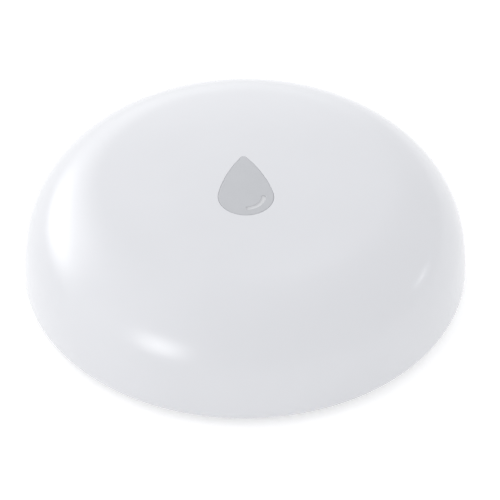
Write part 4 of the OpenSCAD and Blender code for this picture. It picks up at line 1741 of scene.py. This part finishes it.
@dataclass(frozen=True)
class EndedChip:
    """Small board part with a core that is a little less than its size, between two soldered ends."""

    size: Point
    inset: Point
    core_rounds: Pair
    end_w: float
    end_rounds: Pair

    def parts(self, base: float) -> tuple[Blank, list[Blank]]:
        """Makes the core and the ends.

        Args:
            base: Height that they stand at.

        Returns:
            The core and the two ends.
        """
        wide, long, high = self.size
        narrow, short, low = (whole - less for whole, less in zip(self.size, self.inset))
        corner, edge = self.core_rounds
        core = Blank.extruded(slab(narrow, short, corner), base, base + low, edge)
        corner, edge = self.end_rounds
        end = Blank.extruded(slab(wide, self.end_w, corner), base, base + high, edge)
        return core, end.pair(y=(long - self.end_w) / 2)


@dataclass
class CircuitBoard:
    """Round board with its screws and the small parts on it."""

    layout: Layout
    panel_edge: float = 0.06
    screw_hole: float = 1.0
    notch_r: float = 1.2
    notch_angles: Pair = (30.0, 150.0)
    washer: Pair = (1.15, 2.0)
    land_r: float = 1.1
    pad_t: float = 0.02
    pad_round: float = 0.01
    screw_r: float = 0.9
    head_r: float = 1.6
    head_h: float = 0.7
    head_rounds: Pair = (0.35, 0.06)
    thread_pitch: float = 0.5
    thread_depth: float = 0.16
    thread_gap: float = 0.05
    tip_h: float = 0.3
    tip_cone: float = 0.35
    recess: Triple = (1.7, 0.42, 0.06)
    recess_depth: float = 0.42
    recess_taper: float = 0.05
    parts_at: float = 10.0
    led_shoulder: float = 0.15
    led_inset: float = 0.5
    led_rounds: Pair = (0.05, 0.06)
    led_end_w: float = 0.27
    led_end_rounds: Pair = (0.04, 0.03)
    lens_root: float = 0.2
    lens_round: float = 0.12
    chip_turn: float = 150.0
    chip_w: float = 6.0
    chip_h: float = 0.85
    chip_inset: float = 0.1
    chip_corner: float = 0.12
    chip_edge: float = 0.06
    chip_lift: float = 0.02
    dot: Pair = (0.3, 0.08)
    dot_in: float = 0.8
    lead: Triple = (0.45, 0.25, 0.06)
    lead_h: float = 0.2
    lead_edge: float = 0.03
    lead_pitch: float = 0.5
    lead_rows: int = 5
    crystal_turn: float = 186.0
    crystal_size: Point = (3.2, 2.5, 0.7)
    tray_rounds: Pair = (0.15, 0.05)
    lid_inset: float = 0.3
    lid_h: float = 0.2
    lid_edge: float = 0.06
    antenna_turn: float = 30.0
    antenna_in: float = 2.2
    antenna: EndedChip = EndedChip((2.0, 8.0, 1.0), (0.06, 0.8, 0.03), (0.1, 0.1), 0.42, (0.08, 0.06))
    passive_turn: float = 270.0
    passive_pitch: float = 2.0
    passive: EndedChip = EndedChip((0.8, 1.6, 0.5), (0.04, 0.7, 0.02), (0.04, 0.04), 0.36, (0.06, 0.05))

    def build(self) -> None:
        """Builds the board, its pads, its screws and its parts."""
        extent = Extent.of("circuit_board")
        self._panel(extent.high[1], *extent.levels)
        self._screws()
        self._led()
        self._chip()
        self._crystal()
        self._antenna(extent.high[1])
        self._passives()

    def _block(self, plan: Triple, low: float, high: float, edge: float) -> Blank:
        """Block of a length, a width and a corner round, between two heights over the board."""
        return Blank.extruded(slab(*plan), self.layout.board_top + low, self.layout.board_top + high, edge)

    def _seat(self, name: str, blank: Blank, finish: Finish, at: float, turn: float, *nodes: str) -> None:
        """Sets a part at a radius and at a turn from the first spring, which it also turns by."""
        put(name, *blank.around([self.layout.spring_angle + turn], at), finish, Body.HOUSING, *nodes)

    def _panel(self, radius: float, low: float, high: float) -> None:
        """Builds the panel with its holes and notches, and the gold pads on both its faces.

        Args:
            radius: Radius of the board.
            low: Height of its lower face.
            high: Height of its upper face.
        """
        layout, thin, fine = self.layout, self.pad_t, self.pad_round
        panel = Blank.extruded(radius * unit_circle(Facets.RIM), low, high, self.panel_edge)
        hole, notch = (Blank.drill(size, low, high) for size in (self.screw_hole, self.notch_r))
        cuts = hole.spaced(layout.screw_angles, layout.screw_at) + notch.spaced(self.notch_angles, radius)
        put("circuit_board_panel", panel.cut(*cuts), BOARD_GREEN, Body.HOUSING, "circuit_board")
        inner, outer = self.washer
        washer = Blank.turned(
            [(inner, high, 0), (outer, high, 0), (outer, high + thin, fine), (inner, high + thin, fine)],
            Facets.BOSS, steps=2,
        )
        land = Blank.turned(
            [(0, low, 0), (self.land_r, low, 0), (self.land_r, low - thin, fine), (0, low - thin, 0)],
            Facets.BOSS, steps=2,
        )
        pads = washer.spaced(layout.screw_angles, layout.screw_at)
        pads += land.spaced(layout.spring_angles, layout.spring_at)
        put("board_pads", Blank.gathered(pads), SPRING_GOLD, Body.HOUSING)

    def _screws(self) -> None:
        """Builds the three pan-head screws with their cross recesses and threads."""
        low, high = Extent.of("board_screws").levels
        neck, turn = low + self.head_h, unit_circle(Facets.BOSS)
        face_round, rim_round = self.head_rounds
        head = rounded([
            (0, low, 0), (self.head_r, low, face_round), (self.head_r, neck, rim_round),
            (self.screw_r, neck, 0),
        ])
        thread = Thread(
            self.screw_r, self.thread_pitch, self.thread_depth, neck + self.thread_gap, high - self.tip_h
        )
        tip = [(self.screw_r - self.tip_cone, high), (0, high)]
        lower, upper = ([raised(r * turn, z) for r, z in line] for line in (head, tip))
        wide, narrow = (offset(slab(*self.recess), side * self.recess_taper) for side in (1, -1))
        slot = Blank.swept([
            raised(wide, low - PAST / 2), raised(wide, low), raised(narrow, low + self.recess_depth)
        ])
        screw = Blank.swept([*lower, *thread.rings(turn), *upper]).cut(slot, slot.moved(turn=90))
        screws = Blank.gathered(screw.around(self.layout.screw_angles, self.layout.screw_at))
        put("board_screw_set", screws, SCREW_STEEL, Body.HOUSING, "board_screws")

    def _led(self) -> None:
        """Builds the indicator with its lens and its two soldered ends."""
        extent = Extent.of("status_led")
        (length, width, _), top = extent.size, extent.high[2]
        shoulder, radius = top - self.led_shoulder, width / 3
        root, base = shoulder - self.lens_root, self.layout.board_top
        corner, edge = self.led_rounds
        block = Blank.extruded(slab(length - self.led_inset, width, corner), base, shoulder, edge)
        lens = Blank.turned([
            (0, root, 0), (radius, root, 0), (radius, top, self.lens_round), (0, top, 0),
        ], Facets.HOLE)
        put("status_led_lens", block.joined(lens).moved(extent.foot), LED_CLEAR, Body.HOUSING, "status_led")
        corner, edge = self.led_end_rounds
        end = Blank.extruded(slab(self.led_end_w, width, corner), base, shoulder - self.led_shoulder, edge)
        ends = Blank.gathered(end.pair(x=(length - self.led_end_w) / 2)).moved(extent.foot)
        put("status_led_ends", ends, CONTACT_BRASS, Body.HOUSING)

    def _chip(self) -> None:
        """Builds the radio chip with its dot and the leads round its edge."""
        half, side = self.chip_w / 2, self.chip_w - self.chip_inset
        body = self._block((side, side, self.chip_corner), self.chip_lift, self.chip_h, self.chip_edge)
        corner, top = half - self.dot_in, self.layout.board_top + self.chip_h
        dot = Blank.dimple(*self.dot).moved((-corner, corner, top), lean=FLIPPED)
        self._seat("radio_chip_body", body.cut(dot), CHIP_BLACK, self.parts_at, self.chip_turn, "radio_chip")
        lead, reach = self._block(self.lead, 0, self.lead_h, self.lead_edge), half - self.lead[0] / 2
        steps = range(-self.lead_rows, self.lead_rows + 1)
        row = [lead.moved((reach, self.lead_pitch * step, 0)) for step in steps]
        leads = Blank.gathered([copy for one in row for copy in one.around(range(0, 360, 90))])
        self._seat("radio_chip_leads", leads, CONTACT_STEEL, self.parts_at, self.chip_turn)

    def _crystal(self) -> None:
        """Builds the crystal: a ceramic tray under a seam-welded lid."""
        long, wide, high = self.crystal_size
        inset, seam = self.lid_inset, high - self.lid_h
        corner, edge = self.tray_rounds
        tray = self._block((long, wide, corner), 0, seam, edge)
        lid = self._block((long - inset, wide - inset, inset), seam - self.lid_h / 2, high, self.lid_edge)
        can = tray.joined(lid)
        self._seat("crystal_can", can, CRYSTAL_METAL, self.parts_at, self.crystal_turn, "crystal")

    def _antenna(self, board_r: float) -> None:
        """Builds the chip antenna with its two metal ends.

        Args:
            board_r: Radius of the board.
        """
        at, (bar, ends) = board_r - self.antenna_in, self.antenna.parts(self.layout.board_top)
        self._seat("chip_antenna_bar", bar, ANTENNA_CERAMIC, at, self.antenna_turn, "chip_antenna")
        self._seat("chip_antenna_ends", Blank.gathered(ends), CONTACT_STEEL, at, self.antenna_turn)

    def _passives(self) -> None:
        """Builds the eight small chips with their soldered ends."""
        pitch, (core, ends) = self.passive_pitch, self.passive.parts(self.layout.board_top)
        spots = [((row - 0.5) * pitch, (column - 1.5) * pitch, 0) for row in range(2) for column in range(4)]
        cores = Blank.gathered([core.moved(spot) for spot in spots])
        caps = Blank.gathered([end.moved(spot) for spot in spots for end in ends])
        self._seat("board_chip_cores", cores, CHIP_CERAMIC, self.parts_at, self.passive_turn, "board_chips")
        self._seat("board_chip_ends", caps, CONTACT_STEEL, self.parts_at, self.passive_turn)


@dataclass
class PushSwitch:
    """Push switch under the key: a black base, a folded steel plate, a plunger and four leads."""

    corner: float = 0.35
    edge: float = 0.1
    cavity_r: float = 1.7
    cavity_z: float = 9.28
    cavity_ease: float = 0.1
    hole_r: float = 1.26
    plunger_r: float = 1.2
    plunger_crown: float = 0.03
    plunger_rounds: Triple = (0.08, 0.05, 0.2)
    rim_t: float = 0.4
    sheet: float = 0.2
    sheet_edge: float = 0.04
    tab_w: float = 1.6
    tab_root: float = 0.5
    tab_rounds: Triple = (0.05, 0.03, 0.2)
    fold_edge: float = 0.02
    lead_w: float = 0.6
    lead_at: float = 1.3
    # Side view of a lead: distance from the base's side, height over the board and round
    lead_view: tuple[Corner, ...] = (
        (-0.1, 0.04, 0), (0.75, 0.04, 0.04), (0.75, 0.2, 0.04),
        (0.25, 0.2, 0.1), (0.15, 0.45, 0.1), (-0.1, 0.45, 0),
    )

    def build(self) -> None:
        """Builds the switch at its place in the frame."""
        extent = Extent.of("switch_body")
        width, (base, top) = extent.size[0], extent.levels
        mouth = self.cavity_r + self.cavity_ease
        well = Blank.turned([
            (0, self.cavity_z, 0), (self.cavity_r, self.cavity_z, 0),
            (self.cavity_r, top - self.cavity_ease, 0), (mouth, top, 0),
            (mouth, top + PAST, 0), (0, top + PAST, 0),
        ], Facets.BOSS)
        body = Blank.extruded(slab(width, width, self.corner), base, top, self.edge).cut(well)
        view = [(width / 2 + out, base + rise, turn) for out, rise, turn in self.lead_view]
        lead = Blank.folded(view, self.lead_w, self.fold_edge)
        leads = Blank.gathered([copy for one in lead.pair(y=self.lead_at) for copy in one.around((90, 270))])
        for name, blank, finish, mover, nodes in (
            ("switch_base", body, SWITCH_BLACK, Body.HOUSING, ["switch_body"]),
            ("switch_cover_plate", self._plate(width), CONTACT_STEEL, Body.HOUSING, ["switch_plate"]),
            ("switch_plunger_button", self._plunger(), PLUNGER_WHITE, Body.PLUNGER, ["switch_plunger"]),
            ("switch_leads", leads, CONTACT_STEEL, Body.HOUSING, []),
        ):
            put(name, blank.moved(extent.foot), finish, mover, *nodes)

    def _plate(self, width: float) -> Blank:
        """Makes the steel plate with its hole and two tabs folded down.

        Args:
            width: Width of the switch.

        Returns:
            The plate on the Z axis.
        """
        extent = Extent.of("switch_plate")
        (low, top), out = extent.levels, extent.size[0] / 2
        under, root, inside = top - self.sheet, width / 2 - self.tab_root, out - self.sheet
        square = Blank.extruded(slab(width, width, self.corner), under, top, self.sheet_edge)
        inner, end, outer = self.tab_rounds
        tab = Blank.folded([
            (root, under, 0), (inside, under, inner), (inside, low, end), (out, low, end), (out, top, outer),
            (root, top, 0),
        ], self.tab_w, self.fold_edge)
        return square.joined(*tab.around((0, 180))).cut(Blank.drill(self.hole_r, top, top, Facets.BOSS))

    def _plunger(self) -> Blank:
        """Makes the plunger with its rim and a softly crowned face.

        Returns:
            The plunger on the Z axis.
        """
        extent = Extent.of("switch_plunger")
        rim_r, (low, top) = extent.size[0] / 2, extent.levels
        rim_top, (edge, fillet, crown) = low + self.rim_t, self.plunger_rounds
        return Blank.turned([
            (0, low, 0), (rim_r, low, edge), (rim_r, rim_top, edge), (self.plunger_r, rim_top, fillet),
            (self.plunger_r, top - self.plunger_crown, crown), (0, top, 0),
        ], Facets.BOSS)


@dataclass
class SoftBox:
    """Flat lamp with a soft rim that gives the puck its highlights; its sizes are in metres."""

    name: str
    azimuth: float
    elevation: float
    distance: float
    width: float
    height: float
    radiance: float

    def build(self, subject: Vector, turn: float) -> None:
        """Hangs the lamp.

        Args:
            subject: Point that it faces, in metres.
            turn: Angle in degrees that the whole studio is turned by.
        """
        lamp = bpy.data.lights.new(self.name, "AREA")
        lamp.shape = "RECTANGLE"
        lamp.size, lamp.size_y = self.width, self.height
        lamp.energy = self.radiance * math.pi * self.width * self.height
        self._soften(Graph(lamp))
        holder = bpy.data.objects.new(self.name, lamp)
        bpy.context.scene.collection.objects.link(holder)
        rise = math.radians(self.elevation)
        way = Vector(on_plan(math.cos(rise), self.azimuth + turn, math.sin(rise)))
        holder.location = subject + self.distance * way
        holder.rotation_euler = way.to_track_quat("Z", "Y").to_euler()
        holder.visible_camera = False
        holder.visible_diffuse = False

    def _soften(self, graph: Graph) -> None:
        """Fades the lamp from its middle to its rim.

        Args:
            graph: Tree of the lamp.
        """
        place = graph.add("SeparateXYZ", graph.add("NewGeometry").outputs["Parametric"]).outputs
        fades = []
        for axis in ("X", "Y"):
            fade = graph.add("MapRange", Value=graph.math("PINGPONG", place[axis], 0.5), From_Max=0.5)
            fade.interpolation_type = "SMOOTHSTEP"
            fades.append(fade.outputs["Result"])
        graph.wire(graph.tree.nodes["Emission"], Strength=graph.math("MULTIPLY", *fades))


@dataclass
class Studio:
    """Pale floor, soft light from a pale room and a few lamps, and the camera."""

    subject: Point = (0.0, 0.0, 7.5)
    elevation: float = 40.6
    distance: float = 370.0
    lens: float = 237.1
    aim_right: float = 0.596
    aim_up: float = -2.775
    floor_size: float = 4.0
    floor_colour: Colour = (0.75, 0.75, 0.75, 1)
    floor_glow: float = 0.28
    floor_shine: float = 0.4
    floor_rough: float = 0.9
    floor_gloss: float = 0.1
    paper_grain: float = 1.5
    paper_layers: float = 3.0
    paper_tone: float = 0.99
    sky_colour: Colour = (0.985, 0.99, 1.0, 1)
    sky_bright: float = 1.5
    sky_dim: float = 0.97
    sky_reach: float = -0.2
    sky_azimuth: float = 156.0
    turn: float = -2.3
    # Azimuth and elevation in degrees, then distance, width and height, and radiance
    lamps: tuple[SoftBox, ...] = (
        SoftBox("lamp_left", 147, 14, 0.6, 0.76, 0.36, 3.2),
        SoftBox("lamp_left_fade", 143, 25, 0.65, 0.9, 0.7, 2.3),
        SoftBox("lamp_back", 100, 18, 0.65, 0.8, 0.56, 0.85),
        SoftBox("lamp_front_left", -130.5, 12, 0.6, 0.4, 0.36, 5.2),
        SoftBox("lamp_right", 9.5, 10, 0.6, 0.2, 0.03, 8.0),
    )

    def build(self) -> None:
        """Sets up the studio."""
        subject = Vector(self.subject) * MM
        self._floor()
        self._room()
        for lamp in self.lamps:
            lamp.build(subject, self.turn)
        self._camera(subject)

    def _floor(self) -> None:
        """Lays the floor, which looks a little brighter, also in what mirrors it, than the light it gives."""
        half = self.floor_size / 2
        mesh = bpy.data.meshes.new("floor")
        corners = [(-half, -half, 0), (half, -half, 0), (half, half, 0), (-half, half, 0)]
        mesh.from_pydata(corners, [], [[0, 1, 2, 3]])
        floor = bpy.data.objects.new("floor", mesh)
        bpy.context.scene.collection.objects.link(floor)
        paper = Surface("floor_paper")
        grain = paper.spread(paper.noise(self.paper_grain, self.paper_layers), 0, 1)
        lit = paper.add("LightPath").outputs["Is Diffuse Ray"]
        paper.set(
            Base_Color=paper.mix(grain, shade(self.floor_colour, self.paper_tone), self.floor_colour),
            Roughness=self.floor_rough,
            Specular_IOR_Level=self.floor_gloss,
            Emission_Color=(1, 1, 1, 1),
            Emission_Strength=paper.spread(lit, self.floor_shine, self.floor_glow, 0.0, 1.0),
        )
        self._open_below(paper)
        mesh.materials.append(paper.material)

    def _open_below(self, paper: Surface) -> None:
        """Leaves the floor clear from below, so that the underside of the puck can be looked at.

        Args:
            paper: Tree of the floor's material.
        """
        below = paper.add("NewGeometry").outputs["Backfacing"]
        clear = paper.add("BsdfTransparent").outputs["BSDF"]
        both = paper.add("MixShader", below, paper.shader.outputs["BSDF"], clear)
        paper.wire(paper.tree.nodes["Material Output"], Surface=both.outputs["Shader"])

    def _room(self) -> None:
        """Lights the room with a soft change from its bright side to its dim one."""
        world = bpy.data.worlds.new("room")
        bpy.context.scene.world = world
        graph = Graph(world)
        way = graph.add("TexCoord").outputs["Generated"]
        bright_side = on_plan(1.0, self.sky_azimuth + self.turn)
        facing = graph.vector("DOT_PRODUCT", "Value", way, bright_side)
        light = graph.spread(facing, self.sky_dim, self.sky_bright, self.sky_reach, 1.0)
        graph.wire(graph.tree.nodes["Background"], Color=self.sky_colour, Strength=light)

    def _camera(self, subject: Vector) -> None:
        """Sets the camera at the photograph's angle.

        Args:
            subject: Middle of the puck, in metres.
        """
        rise = math.radians(self.elevation)
        back = Vector(on_plan(math.cos(rise), self.turn - 90, math.sin(rise)))
        up = Vector(on_plan(math.sin(rise), self.turn + 90, math.cos(rise)))
        right = Vector(on_plan(1.0, self.turn))
        camera = bpy.data.objects.new("camera", bpy.data.cameras.new("camera"))
        bpy.context.scene.collection.objects.link(camera)
        camera.data.lens = self.lens
        camera.location = subject + back * self.distance * MM
        aim = subject + (right * self.aim_right + up * self.aim_up) * MM
        camera.rotation_euler = (aim - camera.location).to_track_quat("-Z", "Y").to_euler()
        bpy.context.scene.camera = camera
        bpy.context.scene.view_settings.view_transform = "Standard"


def main() -> None:
    """Builds the sensor's sub-assemblies round the frame, then the studio."""
    logging.basicConfig(level=logging.INFO, format="%(name)s %(message)s")
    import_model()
    dome, drop, layout = Dome.measured(), Drop(), Layout()
    for part in (
        Shell(dome, drop, layout),
        DropKey(dome, drop),
        BaseFrame.measured(),
        BatteryCover.measured(layout),
        Seals(),
        Probes(layout),
        ContactSprings(),
        CellBay(layout, CoinCell()),
        CircuitBoard(layout),
        PushSwitch(),
        Studio(),
    ):
        part.build()


if __name__ == "__main__":
    main()
